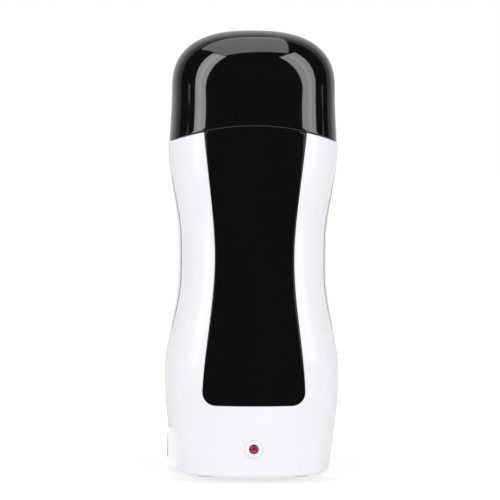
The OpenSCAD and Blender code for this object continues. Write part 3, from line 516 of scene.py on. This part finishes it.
LENS = lens_red()
LED = moulded_gloss("led_red", (0.5, 0.02, 0.02), (0.6, 0.04, 0.03), 0.15)
BOARD = moulded_gloss("board_green", (0.015, 0.11, 0.045), (0.02, 0.15, 0.06), 0.35)
RESISTOR = soft_plastic("resistor_tan", (0.45, 0.3, 0.16), (0.55, 0.4, 0.22), 1200, 0.01, 0.4)
DIODE = soft_plastic("diode_black", (0.01, 0.01, 0.011), (0.03, 0.03, 0.03), 1200, 0.01, 0.35)
STEEL = metal("screw_steel", (0.5, 0.5, 0.51), (0.62, 0.62, 0.63), 0.28, (1, 1, 1))
SPRING_STEEL = metal("clamp_steel", (0.5, 0.5, 0.52), (0.6, 0.6, 0.61), 0.3)
PLATED = metal("pin_plated", (0.74, 0.7, 0.62), (0.82, 0.79, 0.72), 0.16, (0.05, 1, 1))
COLLAR = soft_plastic("collar_black", (0.012, 0.012, 0.013), (0.028, 0.028, 0.03), 700, 0.02, 0.42)
CRADLE = soft_plastic("cradle_ivory", (0.55, 0.5, 0.4), (0.64, 0.59, 0.48), 600, 0.02)
WELL = metal("well_aluminium", (0.62, 0.62, 0.64), (0.74, 0.74, 0.76), 0.34)
STONE = soft_plastic("stone_grey", (0.04, 0.04, 0.043), (0.09, 0.09, 0.092), 1500, 0.03, 0.7)
BRASS = metal("electrode_brass", (0.62, 0.42, 0.16), (0.72, 0.5, 0.22), 0.3)
FILM = moulded_gloss("film_amber", (0.4, 0.13, 0.012), (0.5, 0.18, 0.02), 0.2)
FUSE = metal("fuse_steel", (0.6, 0.6, 0.61), (0.7, 0.7, 0.71), 0.18, (0.05, 1, 1))
BROWN = soft_plastic("wire_brown", (0.12, 0.045, 0.018), (0.17, 0.07, 0.03), 1500, 0.01, 0.4)
BLUE = soft_plastic("wire_blue", (0.02, 0.08, 0.3), (0.03, 0.12, 0.4), 1500, 0.01, 0.4)
PALE = soft_plastic("wire_white", (0.7, 0.7, 0.68), (0.8, 0.8, 0.78), 1500, 0.01, 0.4)
RED = soft_plastic("wire_red", (0.35, 0.015, 0.015), (0.45, 0.025, 0.022), 1500, 0.01, 0.4)
# pale silicone feet, their colour raised as painted light to lighten the shade under the base
RUBBER = soft_plastic("foot_rubber", (0.9, 0.9, 0.95), (0.93, 0.93, 0.97), 900, 0.03, 0.5)
CARTRIDGE = moulded_gloss("cartridge_natural", (0.74, 0.73, 0.68), (0.8, 0.79, 0.74), 0.22)
WAX = soft_plastic("wax_honey", (0.5, 0.22, 0.035), (0.62, 0.3, 0.06), 120, 0.08, 0.3)
HEAD = moulded_gloss("head_white", (0.78, 0.78, 0.79), (0.84, 0.84, 0.85), 0.25)
ROLLER = metal("roller_aluminium", (0.7, 0.7, 0.72), (0.8, 0.8, 0.82), 0.22, (1, 0.03, 0.03))

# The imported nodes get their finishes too
for name, finish in {
        "lamp_led": LED, "lamp_board": BOARD, "board_resistor": RESISTOR, "board_diode": DIODE,
        "board_screws": STEEL, "collar_screws": STEEL, "case_screws": STEEL, "clamp_screws": STEEL,
        "inlet_pins": PLATED, "mouth_collar": COLLAR, "cradle": CRADLE, "heater_well": WELL,
        "heating_stones": STONE, "front_electrode": BRASS, "rear_electrode": BRASS, "insulating_film": FILM,
        "heater_clamp": SPRING_STEEL, "thermal_fuse": FUSE, "live_wire": BROWN, "neutral_wire": BLUE,
        "fuse_wire": PALE, "lamp_wires": RED, "rubber_feet": RUBBER, "cartridge_body": CARTRIDGE,
        "wax_fill": WAX, "roller_head": HEAD, "roller": ROLLER, "front_shell": WHITE, "rear_shell": WHITE,
        "front_panel": PANEL, "cap": CAP, "lamp_bezel": WHITE, "lamp_lens": LENS, "inlet_block": LIT_BLOCK_WHITE,
        "inlet_socket": SOCKET}.items():
    mesh = nodes[name].data
    mesh.materials.clear()
    mesh.materials.append(finish)

# Shells and panel
FLOOR_ROWS, EDGE_ROWS, WALL_ROWS, SHELL_COLS = 8, 6, 104, 80
PANEL_CORNER_ROWS, PANEL_WALL_ROWS, PANEL_COLS = 10, 84, 40
PANEL_ROWS = PANEL_CORNER_ROWS + PANEL_WALL_ROWS
SHELL_ROWS = ([("floor", k / FLOOR_ROWS) for k in range(FLOOR_ROWS)]
              + [("edge", math.pi / 2 * k / EDGE_ROWS) for k in range(EDGE_ROWS)]
              + [("wall", k / WALL_ROWS) for k in range(WALL_ROWS + 1)])


def shell_point(side, proud):
    """The wrap of a half shell: u goes round it, v from the middle of the floor to the seam, w inwards."""
    def start(b):
        return -side * math.asin((-PART_Y / b) ** (SECTION_N / 2))

    nominal = start(SHOULDER_D / 2)

    def place(u, v, w):
        kind, share = SHELL_ROWS[round(v * (len(SHELL_ROWS) - 1))]
        floor, inset = FOOT_H + WALL * w, WALL * w
        if kind == "floor":
            level, inset = floor, inset + EDGE_R
        elif kind == "edge":
            level, inset = floor + EDGE_R * (1 - math.cos(share)), inset + EDGE_R * (1 - math.sin(share))
        else:
            level = floor + EDGE_R + share * (SEAM_Z - floor - EDGE_R)
        turn = nominal + (math.pi - 2 * nominal) * u
        z = bent(level, SHOULDER_W / 2 * abs(math.cos(turn)) ** (2 / SECTION_N))
        depth = half_d(z) - inset
        s = start(depth)
        x, y = oval(half_w(z, proud) - inset, depth, s + (math.pi - 2 * s) * u)
        y *= side
        if kind == "floor":
            x = x * share + BASE_W / 4 * (1 - 2 * u) * (1 - share)
            y = PART_Y + (y - PART_Y) * share
        return Vector((x, y, z))
    return place


def panel_half_w(z):
    """Half the width of the panel at level z."""
    return along([(PANEL_Z, PANEL_FOOT_W / 2, 0, 0),
                  ((WAIST_LOW_Z + WAIST_HIGH_Z) / 2, PANEL_WAIST_W / 2, 0, 0),
                  (SHOULDER_Z, PANEL_TOP_W / 2, 0.09, 0.09)], z)


def panel_point(grow, out, deep, over=0):
    """The wrap of the panel, grown by a gap, between two depths under the front of the body."""
    corner, foot = PANEL_CORNER + grow, PANEL_Z - grow
    rows = [(foot + corner * (1 - math.cos(q)), corner * (1 - math.sin(q)))
            for q in (math.pi / 2 * k / PANEL_CORNER_ROWS for k in range(PANEL_CORNER_ROWS))]
    rows += [(foot + corner + (SEAM_Z + over - foot - corner) * k / PANEL_WALL_ROWS, 0)
             for k in range(PANEL_WALL_ROWS + 1)]

    def place(u, v, w):
        level, narrower = rows[round(v * (len(rows) - 1))]
        x = (panel_half_w(level) + grow - narrower) * (2 * u - 1)
        z = bent(level, x)
        inset = out + (deep - out) * w
        return Vector((x, -oval_y(half_w(z) - inset, half_d(z) - inset, x), z))
    return place


def shell_blank(side, proud):
    """A half shell with its edges at the parting eased."""
    return round_edges(wrap(slab(SHELL_COLS, len(SHELL_ROWS) - 1), shell_point(side, proud)), PARTING_EASE)


def inlet_opening():
    """The way for the block through both shells. It is cut first, which keeps the shell closed."""
    half_d_free = BLOCK_D / 2 + BLOCK_GAP
    return bar((-HIP_W, -half_d_free, -2 * BLOCK_CORNER),
               (BLOCK_GAP - BLOCK_IN_X, half_d_free, BLOCK_TOP + BLOCK_GAP), 0, BLOCK_CORNER + BLOCK_GAP)


def front_shell():
    """The front half with the bed of the panel and the seat and hole of the lamp."""
    bed = panel_point(PANEL_GAP, out=-1, deep=PANEL_T + PANEL_UNDER, over=2)
    return cut(shell_blank(-1, 0), [
        inlet_opening(),
        wrap(slab(PANEL_COLS, PANEL_ROWS), bed),
        rod(BEZEL_R + RING_GAP, lamp_out - BEZEL_SEAT, lamp_out + 2, z=LAMP_Z, axis="-Y"),
        rod(barrel_r + FIT, barrel_end - 1, lamp_out + 2, z=LAMP_Z, axis="-Y")])


def groove_point(side):
    """The wrap of the groove between the front shell and the lip of the rear one, at the waist."""
    low, high = HIP_HIGH_Z + 14, SHOULDER_Z - 12
    fore, width, deep, out = 1, 1.6, 0.5, 0.3

    def place(u, v, w):
        z = low + (high - low) * v
        y = PART_Y - fore + width * u
        proud = half_w(z, REAR_PROUD) - half_w(z)
        x = half_w(z) * (1 - (abs(y) / half_d(z)) ** SECTION_N) ** (1 / SECTION_N)
        return Vector((side * (x - deep + (deep + out * proud) * w), y, z))
    return place


def screw_post(x, z, low_y, seat_y, r):
    """A post inside the rear shell, sunk in its wall, for a screw whose head lies deep in it."""
    inner = oval_y(half_w(z) - WALL, half_d(z) - WALL, max(0, x - r))
    end_y = (inner + oval_y(half_w(z), half_d(z), x + r)) / 2
    profile = [(SCREW_R + HOLE_FREE, low_y), (r, low_y), (r, end_y), (HEAD_R + HEAD_FREE, end_y),
               (HEAD_R + HEAD_FREE, seat_y), (SCREW_R + HOLE_FREE, seat_y), (SCREW_R + HOLE_FREE, low_y)]
    return together(*[set_at(turned(profile), s * x, 0, z, "Y") for s in (-1, 1)])


def rear_shell():
    """The rear half with its counterbores, the grooves at the waist and the posts of the screws."""
    low_y = HIP_D / 2 - 2 * WALL - 3
    holes = [inlet_opening()]
    for x, z in ((SCREW_X, SCREW_Z), (COLLAR_SCREW_X, COLLAR_SCREW_Z)):
        holes += [rod(HEAD_R + HEAD_FREE, low_y, HIP_D, x=s * x, z=z, axis="Y") for s in (-1, 1)]
    holes += [wrap(slab(3, 40), groove_point(side)) for side in (-1, 1)]
    pad_y = collar_seat_y - COLLAR_PAD_T
    return together(
        cut(shell_blank(1, REAR_PROUD), holes),
        screw_post(SCREW_X, SCREW_Z, PART_Y, CASE_SEAT_Y, POST_R),
        screw_post(COLLAR_SCREW_X, COLLAR_SCREW_Z, pad_y, collar_seat_y, COLLAR_PAD_R))


def front_panel():
    """The panel with its edge rounded."""
    return round_edges(wrap(slab(PANEL_COLS, PANEL_ROWS), panel_point(0, 0, PANEL_T)), PANEL_EASE, 3)


# Places that several pieces share: the lamp is measured forwards from the middle
lamp_out = half_d(LAMP_Z)
barrel_r, barrel_end = LENS_R + BARREL_WALL, lamp_out - WALL - BARREL_BEHIND
socket_in_x = SOCKET_OUT_X - CAVITY_L - SOCKET_BACK_T
deck_top = DECK_Z + DECK_T
deck_a, deck_b = half_w(DECK_Z) - WALL - SEAT_GAP, half_d(DECK_Z) - WALL - SEAT_GAP
neck_top = deck_top + NECK_H
neck_a = min(deck_a, half_w(neck_top) - CAP_WALL - NECK_CLEAR)
neck_b = min(deck_b, half_d(neck_top) - CAP_WALL - NECK_CLEAR)
well_top = deck_top - DECK_T / 2
well_back_y = CART_D / 2 + WELL_CLEAR + WELL_WALL
collar_lug_y = deck_b - LUG_IN
collar_seat_y = collar_lug_y + SEAT_GAP + COLLAR_PAD_T
cart_top = deck_top + SEAT_GAP
cart_low = CRADLE_TOP + WELL_WALL + 0.4
roller_z = deck_top + ROLLER_RISE

piece("front_shell_skin", front_shell(), "housing", WHITE, "front_shell")
piece("rear_shell_skin", rear_shell(), "housing", WHITE, "rear_shell")
piece("front_panel_skin", front_panel(), "housing", PANEL, "front_panel")

# Cap
SKIRT_ROWS, DOME_ROWS, CAP_COLS = 14, 44, 160


def cap_point(u, v, w):
    """The wrap of the cap: u goes round it, v from the seam to the crown, w inwards."""
    step = round(v * (SKIRT_ROWS + DOME_ROWS))
    inset = CAP_WALL * w
    if step <= SKIRT_ROWS:
        share = step / SKIRT_ROWS
        level = SEAM_Z + share * (DOME_Z - SEAM_Z)
        a, b = half_w(level) - inset, half_d(level) - inset
        x, y = oval(a, b, -2 * math.pi * u)
        lift = SEAM_GAP - seam_drop(SHOULDER_W / 2 * x / a)
        return Vector((x, y, level + lift * (1 - share)))
    q = math.pi / 2 * (step - SKIRT_ROWS) / DOME_ROWS
    size = max(0, math.cos(q)) ** (2 / DOME_N) if step < SKIRT_ROWS + DOME_ROWS else 0
    x, y = oval((DOME_W / 2 - inset) * size, (DOME_D / 2 - inset) * size, -2 * math.pi * u)
    return Vector((x, y, DOME_Z + (TOTAL_H - DOME_Z - inset) * math.sin(q) ** (2 / DOME_N)))


cap = round_edges(wrap(slab(CAP_COLS, SKIRT_ROWS + DOME_ROWS), cap_point), CAP_EASE, 3)
piece("cap_skin", cap, "cap", CAP, "cap")

# Lamp


def lamp_bezel():
    """The raised ring round the lamp, with a rounded outside and its barrel in the shell."""
    rise, lip = BEZEL_RISE + BEZEL_SEAT, 0.3
    return turned([
        (LENS_R + FIT, barrel_end), (barrel_r, barrel_end), (barrel_r, lamp_out - BEZEL_SEAT),
        *arc(BEZEL_R - rise, lamp_out - BEZEL_SEAT, rise, 0, 90, 10),
        *arc(LENS_R + FIT + lip, lamp_out + BEZEL_RISE - lip, lip, 90, 180, 5),
        (LENS_R + FIT, barrel_end)], 96)


def lamp_lens():
    """The lens: a plug with a flange behind and a domed front."""
    flange, sunk = 1, 0.7
    top = lamp_out + BEZEL_RISE - sunk
    centre = top - math.sqrt(LENS_BALL_R ** 2 - LENS_R ** 2)
    edge = math.degrees(math.acos(LENS_R / LENS_BALL_R))
    return turned([
        (0, barrel_end - flange), (barrel_r, barrel_end - flange), (barrel_r, barrel_end),
        (LENS_R, barrel_end), *arc(0, centre, LENS_BALL_R, edge, 90, 16)], 96)


piece("lamp_bezel_ring", set_at(lamp_bezel(), z=LAMP_Z, axis="-Y"),
      "housing", WHITE, "lamp_bezel")
piece("lamp_lens_dome", set_at(lamp_lens(), z=LAMP_Z, axis="-Y"),
      "housing", LENS, "lamp_lens")

# Power inlet


def inlet_block():
    """The block with eased outer edges, its flange inside the shells and the hole for the socket."""
    blank = bar((-BLOCK_X, -BLOCK_D / 2, BLOCK_LOW), (-BLOCK_IN_X, BLOCK_D / 2, BLOCK_TOP), 0, BLOCK_CORNER)
    eased(blank, [e for e in blank.edges if all(v.co.x < 0.01 - BLOCK_X for v in e.verts)], BLOCK_EASE, 4)
    flange = bar((-BLOCK_IN_X - FLANGE_L, -BLOCK_D / 2 - FLANGE_OUT, FOOT_H + WALL),
                 (0.02 - BLOCK_IN_X, BLOCK_D / 2 + FLANGE_OUT, BLOCK_TOP + FLANGE_OUT), 0, BLOCK_CORNER)
    hole = (CAVITY_R + SHROUD_T + FIT, BLOCK_IN_X - 2, BLOCK_X + 1)
    return together(*[cut(form, [stadium(*hole)]) for form in (blank, flange)])


def inlet_socket():
    """The dark shroud round the pins, closed behind, with its lip against the block."""
    shroud = cut(stadium(CAVITY_R + SHROUD_T, socket_in_x, SOCKET_OUT_X),
                 [stadium(CAVITY_R, socket_in_x + SOCKET_BACK_T, SOCKET_OUT_X + 1)])
    return together(round_edges(shroud, SHROUD_EASE, 3),
                    stadium(CAVITY_R + SHROUD_T + SHROUD_LIP, socket_in_x, BLOCK_IN_X - 0.02))


def inlet_pins():
    """Two round pins with eased tips, each with its root, collar and tail."""
    floor, tail, collar = SOCKET_OUT_X - CAVITY_L, socket_in_x - PIN_TAIL_L, socket_in_x - PIN_COLLAR_L
    tip, ease = floor + PIN_L, 0.7
    profile = [(0, tail), (PIN_TAIL_R, tail), (PIN_TAIL_R, collar), (PIN_COLLAR_R, collar),
               (PIN_COLLAR_R, socket_in_x), (PIN_ROOT_R, socket_in_x), (PIN_ROOT_R, floor), (PIN_R, floor),
               *arc(PIN_R - ease, tip - ease, ease, 0, 90), (0, tip)]
    return together(*[set_at(turned(profile, 48), 0, s * PIN_PITCH / 2, INLET_Z, "-X") for s in (-1, 1)])


piece("inlet_block_shell", inlet_block(), "housing", LIT_BLOCK_WHITE, "inlet_block")
piece("inlet_socket_shroud", inlet_socket(), "housing", SOCKET, "inlet_socket")
piece("inlet_pin_pair", inlet_pins(), "housing", PLATED, "inlet_pins")

# Feet and the screws that show


def foot():
    """A round foot, eased where it meets the table."""
    ease, free = 0.45, 0.02
    return turned([(0, free), (FOOT_R - 2 * ease, free),
                   *arc(FOOT_R - ease, ease, ease - free, 270, 360), (FOOT_R, FOOT_H), (0, FOOT_H)])


def screw(length):
    """A pan head screw with a cross recess, its head's underside at the origin and the shank downwards."""
    rim, crown, reach, slot, floor = HEAD_H * 0.3, HEAD_H * 0.7, HEAD_R * 0.55, 0.3, HEAD_H * 0.45
    blank = turned([(0, -length), (SCREW_R * 0.4, -length), (SCREW_R, -length + SCREW_R), (SCREW_R, 0),
                    (HEAD_R, 0), (HEAD_R, rim), *arc(HEAD_R - crown, rim, crown, 0, 90), (0, HEAD_H)], 48)
    return cut(blank, [block((-reach, -slot, floor), (reach, slot, HEAD_H + 1)),
                       block((-slot, -reach, floor), (slot, reach, HEAD_H + 1))])


def screw_pair(length, x, y, z):
    """Two screws from behind, one on each side of the middle."""
    return together(*[set_at(screw(length), s * x, y, z, "Y") for s in (-1, 1)])


feet = together(*[set_at(foot(), x, y) for x in (-FOOT_X, FOOT_X) for y in (-FOOT_Y, FOOT_Y)])
collar_screw_l = collar_seat_y - well_back_y - SCREW_SHORT
piece("rubber_foot_set", feet, "housing", RUBBER, "rubber_feet")
piece("case_screw_pair", screw_pair(CASE_SCREW_L, SCREW_X, CASE_SEAT_Y, SCREW_Z),
      "housing", STEEL, "case_screws")
piece("collar_screw_pair", screw_pair(collar_screw_l, COLLAR_SCREW_X, collar_seat_y, COLLAR_SCREW_Z),
      "housing", STEEL, "collar_screws")

# Mouth collar


def mouth_collar():
    """The deck with the mouth for the cartridge, the neck that carries the cap, and two lugs."""
    deck = cut(oval_plate(deck_a, deck_b, DECK_Z, deck_top), [
        cartridge_plate(WELL_CLEAR, DECK_Z - 1, deck_top + 1),
        cartridge_plate(WELL_CLEAR + WELL_WALL + WELL_FREE, DECK_Z - 1, well_top + WELL_FREE)])
    neck = cut(oval_plate(neck_a, neck_b, deck_top - 0.2, neck_top),
               [oval_plate(neck_a - NECK_WALL, neck_b - NECK_WALL, deck_top - 1, neck_top + 1)])
    lugs = []
    for x in (-COLLAR_SCREW_X, COLLAR_SCREW_X):
        lug = block((x - LUG_W / 2, well_back_y + SEAT_GAP, DECK_Z - LUG_H),
                    (x + LUG_W / 2, collar_lug_y, DECK_Z + 0.5))
        pilot = rod(SCREW_R + FIT, well_back_y, collar_lug_y + 1, x=x, z=COLLAR_SCREW_Z, axis="Y")
        lugs.append(cut(lug, [pilot]))
    return together(round_edges(deck, DECK_EASE), round_edges(neck, NECK_EASE, 3), *lugs)


piece("mouth_collar_form", mouth_collar(), "housing", COLLAR, "mouth_collar")

# Cartridge, its head and the roller
ear_in, ear_out = ROLLER_L / 2 + ROLLER_GAP, ROLLER_L / 2 + ROLLER_GAP + EAR_T
pin_end = ear_out - PIN_SHORT


def cartridge_body():
    """The cartridge, open at the top, with a rounded foot."""
    blank = cartridge_plate(0, cart_low, cart_top)
    eased(blank, [e for e in blank.edges if all(v.co.z < cart_low + 0.01 for v in e.verts)], CART_EASE, 4)
    return cut(blank, [cartridge_plate(-CART_WALL, cart_low + CART_WALL, cart_top + 1)])


def roller_head():
    """The head: a rim on the deck, a tapered housing with two ears, the trough, the bores and the slot."""
    low_y, top_y, housing_top = HOUSING_LOW_D / 2, HOUSING_TOP_D / 2, roller_z - HOUSING_DOWN
    side = prism([(-low_y, cart_top + 0.5), (low_y, cart_top + 0.5), (top_y, housing_top),
                  (EAR_R, housing_top), *arc(0, roller_z, EAR_R, 0, 180, 28), (-EAR_R, housing_top),
                  (-top_y, housing_top)], -ear_out - 0.5, ear_out + 0.5)
    corners = bar((-ear_out, -low_y - FIT, cart_top - 1), (ear_out, low_y + FIT, TOTAL_H), 2,
                  HOUSING_CORNER)
    housing = round_edges(cut(side, [corners], "INTERSECT"), HEAD_EASE)
    rim = round_edges(cartridge_plate(HEAD_RIM_OUT, cart_top, cart_top + HEAD_RIM_T), HEAD_EASE)
    trough_r = ROLLER_R + ROLLER_GAP
    trough = prism([*arc(0, roller_z, trough_r, 180, 360, 48), (trough_r, TOTAL_H), (-trough_r, TOTAL_H)],
                   -ear_in, ear_in)
    bore_end = pin_end + PIN_FREE
    bores = rod(ROLLER_PIN_R + FIT, -bore_end, bore_end, z=roller_z, axis="X")
    slot = bar((-SLOT_L / 2, -SLOT_D / 2, cart_top - 1), (SLOT_L / 2, SLOT_D / 2, roller_z), 2, SLOT_CORNER)
    return cut(cut(housing, [rim], "UNION"), [trough, bores, slot])


def roller():
    """The roller with rounded ends and its two pins."""
    end, edge, tip = ROLLER_L / 2, 1.2, 0.4
    half = [(ROLLER_R, 0), *arc(ROLLER_R - edge, end - edge, edge, 0, 90), (ROLLER_PIN_R, end),
            *arc(ROLLER_PIN_R - tip, pin_end - tip, tip, 0, 90, 4), (0, pin_end)]
    whole = [(r, -z) for r, z in reversed(half)] + half[1:]
    return set_at(turned(whole, 120), z=roller_z, axis="X")


piece("cartridge_shell", cartridge_body(), "cartridge", CARTRIDGE, "cartridge_body")
piece("roller_head_form", roller_head(), "cartridge", HEAD, "roller_head")
piece("roller_form", roller(), "roller", ROLLER, "roller")

# Floor: it shows white with a painted contact shadow in front, and lights the object less than it shows
CLOSE_GLOW, FAR_GLOW, LIGHT_TABLE = 0.70, 0.30, 0.16
floor = Finish("floor_white", Roughness=0.9, Specular_IOR_Level=0.0, Emission_Strength=1.0)
seen = floor.node("LightPath", out="Is Camera Ray")
spot = floor.node("TexCoord", out="Object")
afar = floor.node("VectorMath", {"operation": "LENGTH"}, out=1, Vector=spot)
aside, behind = (floor.node("SeparateXYZ", out=k, Vector=spot) for k in (0, 1))
# 1 on the outline of the base, less inside it
foot_oval = ((((aside * (2000 / BASE_W)) ** 2) ** (SECTION_N / 2)
              + ((behind * (2000 / BASE_D)) ** 2) ** (SECTION_N / 2)) ** (1 / SECTION_N))
ahead = (0 - behind).over(0.012, 0.026)
# painted contact shadow: the glow the camera sees is lowered in a band round the front of the base
painted_contact_shadow = foot_oval.over(0.75, 1.0) * 0.23 - foot_oval.over(1.06, 1.5) * 0.22
glow = CLOSE_GLOW - ahead * painted_contact_shadow + afar.over(0.06, 0.14) * FAR_GLOW
floor.give(Base_Color=floor.tint(seen, (0.9, 0.9, 0.9), (0.36, 0.36, 0.36)),
           Emission_Color=floor.tint(seen * glow + (1 - seen) * LIGHT_TABLE, (0, 0, 0), (1, 1, 1)))
ground = grid(1, 1)
bmesh.ops.transform(ground, matrix=Matrix.Diagonal((30, 30, 1, 1)) @ Matrix.Translation((-0.5, -0.5, 0)),
                    verts=ground.verts)
ground = bare_object("floor", ground)
ground.data.materials.append(floor.material)
ground.visible_glossy = False

# World: white to the camera, a dark room with a pale back wall in reflections, and soft light else
AMBIENT, FRONT, BACK = 0.385, 0.67, 0.32
world = bpy.data.worlds.new("studio")
bpy.context.scene.world = world
sky = Nodes(world, "Background")
way = sky.node("TexCoord", out="Generated")
back, up = (sky.node("SeparateXYZ", out=k, Vector=way) for k in (1, 2))
camera_ray, mirror_ray, through_ray = (
    sky.node("LightPath", out=name) for name in ("Is Camera Ray", "Is Glossy Ray", "Is Transmission Ray"))
room = 0.018 + back.over(0.33, 0.39) * 0.17 + back.over(0.5, 0.82) * 0.48 + (0 - up).over(0.3, 0.6) * 0.5
soft = (0 - back).over(0, 1) * FRONT + back.over(0, 1) * BACK + AMBIENT
plain = (1 - camera_ray - through_ray - mirror_ray) * soft
sky.give(Color=(1, 1, 1), Strength=camera_ray + through_ray + mirror_ray * room + plain)

# Lamps


def area_light(name, width, tall, level):
    """A flat light whose face is as bright as its level, with 1 for white."""
    lamp = bpy.data.lights.new(name, "AREA")
    lamp.shape, lamp.size, lamp.size_y = "RECTANGLE", width, tall
    lamp.energy = level * width * tall * math.pi
    holder = bpy.data.objects.new(name, lamp)
    bpy.context.scene.collection.objects.link(holder)
    return holder


def standing_box(name, width, foot, head, level):
    """A light that faces the object, between two points of angle from the front, distance and level."""
    foot, head = (Vector((math.sin(math.radians(turn)) * far, -math.cos(math.radians(turn)) * far, z))
                  for turn, far, z in (foot, head))
    middle, up = (foot + head) / 2, (head - foot).normalized()
    sideways = up.cross(middle - Vector((0, 0, 0.16))).normalized()
    holder = area_light(name, width, (head - foot).length, level)
    holder.matrix_world = (Matrix.Translation(middle)
                           @ Matrix((sideways, up, sideways.cross(up))).transposed().to_4x4())


standing_box("left_box", 0.24, (-62, 0.85, 0.0), (-45, 0.40, 0.68), 1.65)
standing_box("left_core", 0.07, (-62.5, 0.84, 0.0), (-46, 0.39, 0.66), 0.3)
standing_box("right_box", 0.30, (65, 0.85, 0.0), (45, 0.40, 0.68), 1.4)
standing_box("right_core", 0.08, (66, 0.84, 0.0), (46, 0.39, 0.66), 0.25)
standing_box("left_edge", 0.08, (-83, 0.9, 0.1), (-83, 0.9, 0.23), 0.3)
standing_box("right_edge", 0.05, (92, 0.9, 0.1), (92, 0.9, 0.23), 0.35)
top_box = area_light("top_box", 0.91, 0.94, 0.78)
top_box.location, top_box.rotation_euler.z = (-0.095, -0.06, 1.05), math.radians(14)

# Camera: its lens follows from the millimetres a pixel spans at the object's middle
PIXELS, SENSOR = 500, 36
MID_SCALE, EYE, EYE_Z, AIM_X, AIM_Z = 0.4423, 0.87, 0.1395, -0.00106, 0.0983
YAW, ROLL = -2.41, 0.367
camera_data = bpy.data.cameras.new("camera")
camera_data.sensor_width = SENSOR
camera_data.clip_start, camera_data.clip_end = 0.01, 100
camera = bpy.data.objects.new("camera", camera_data)
bpy.context.scene.collection.objects.link(camera)
bpy.context.scene.camera = camera
camera_data.lens = SENSOR / (PIXELS * MID_SCALE * 0.001) * EYE
yaw = math.radians(YAW)
camera.location = (EYE * math.sin(yaw) + AIM_X, -EYE * math.cos(yaw), EYE_Z)
look = (Vector((AIM_X, 0, AIM_Z)) - camera.location).to_track_quat("-Z", "Y")
camera.rotation_mode = "QUATERNION"
camera.rotation_quaternion = look @ Quaternion((0, 0, 1), math.radians(ROLL))

bpy.context.scene.view_settings.view_transform = "Standard"
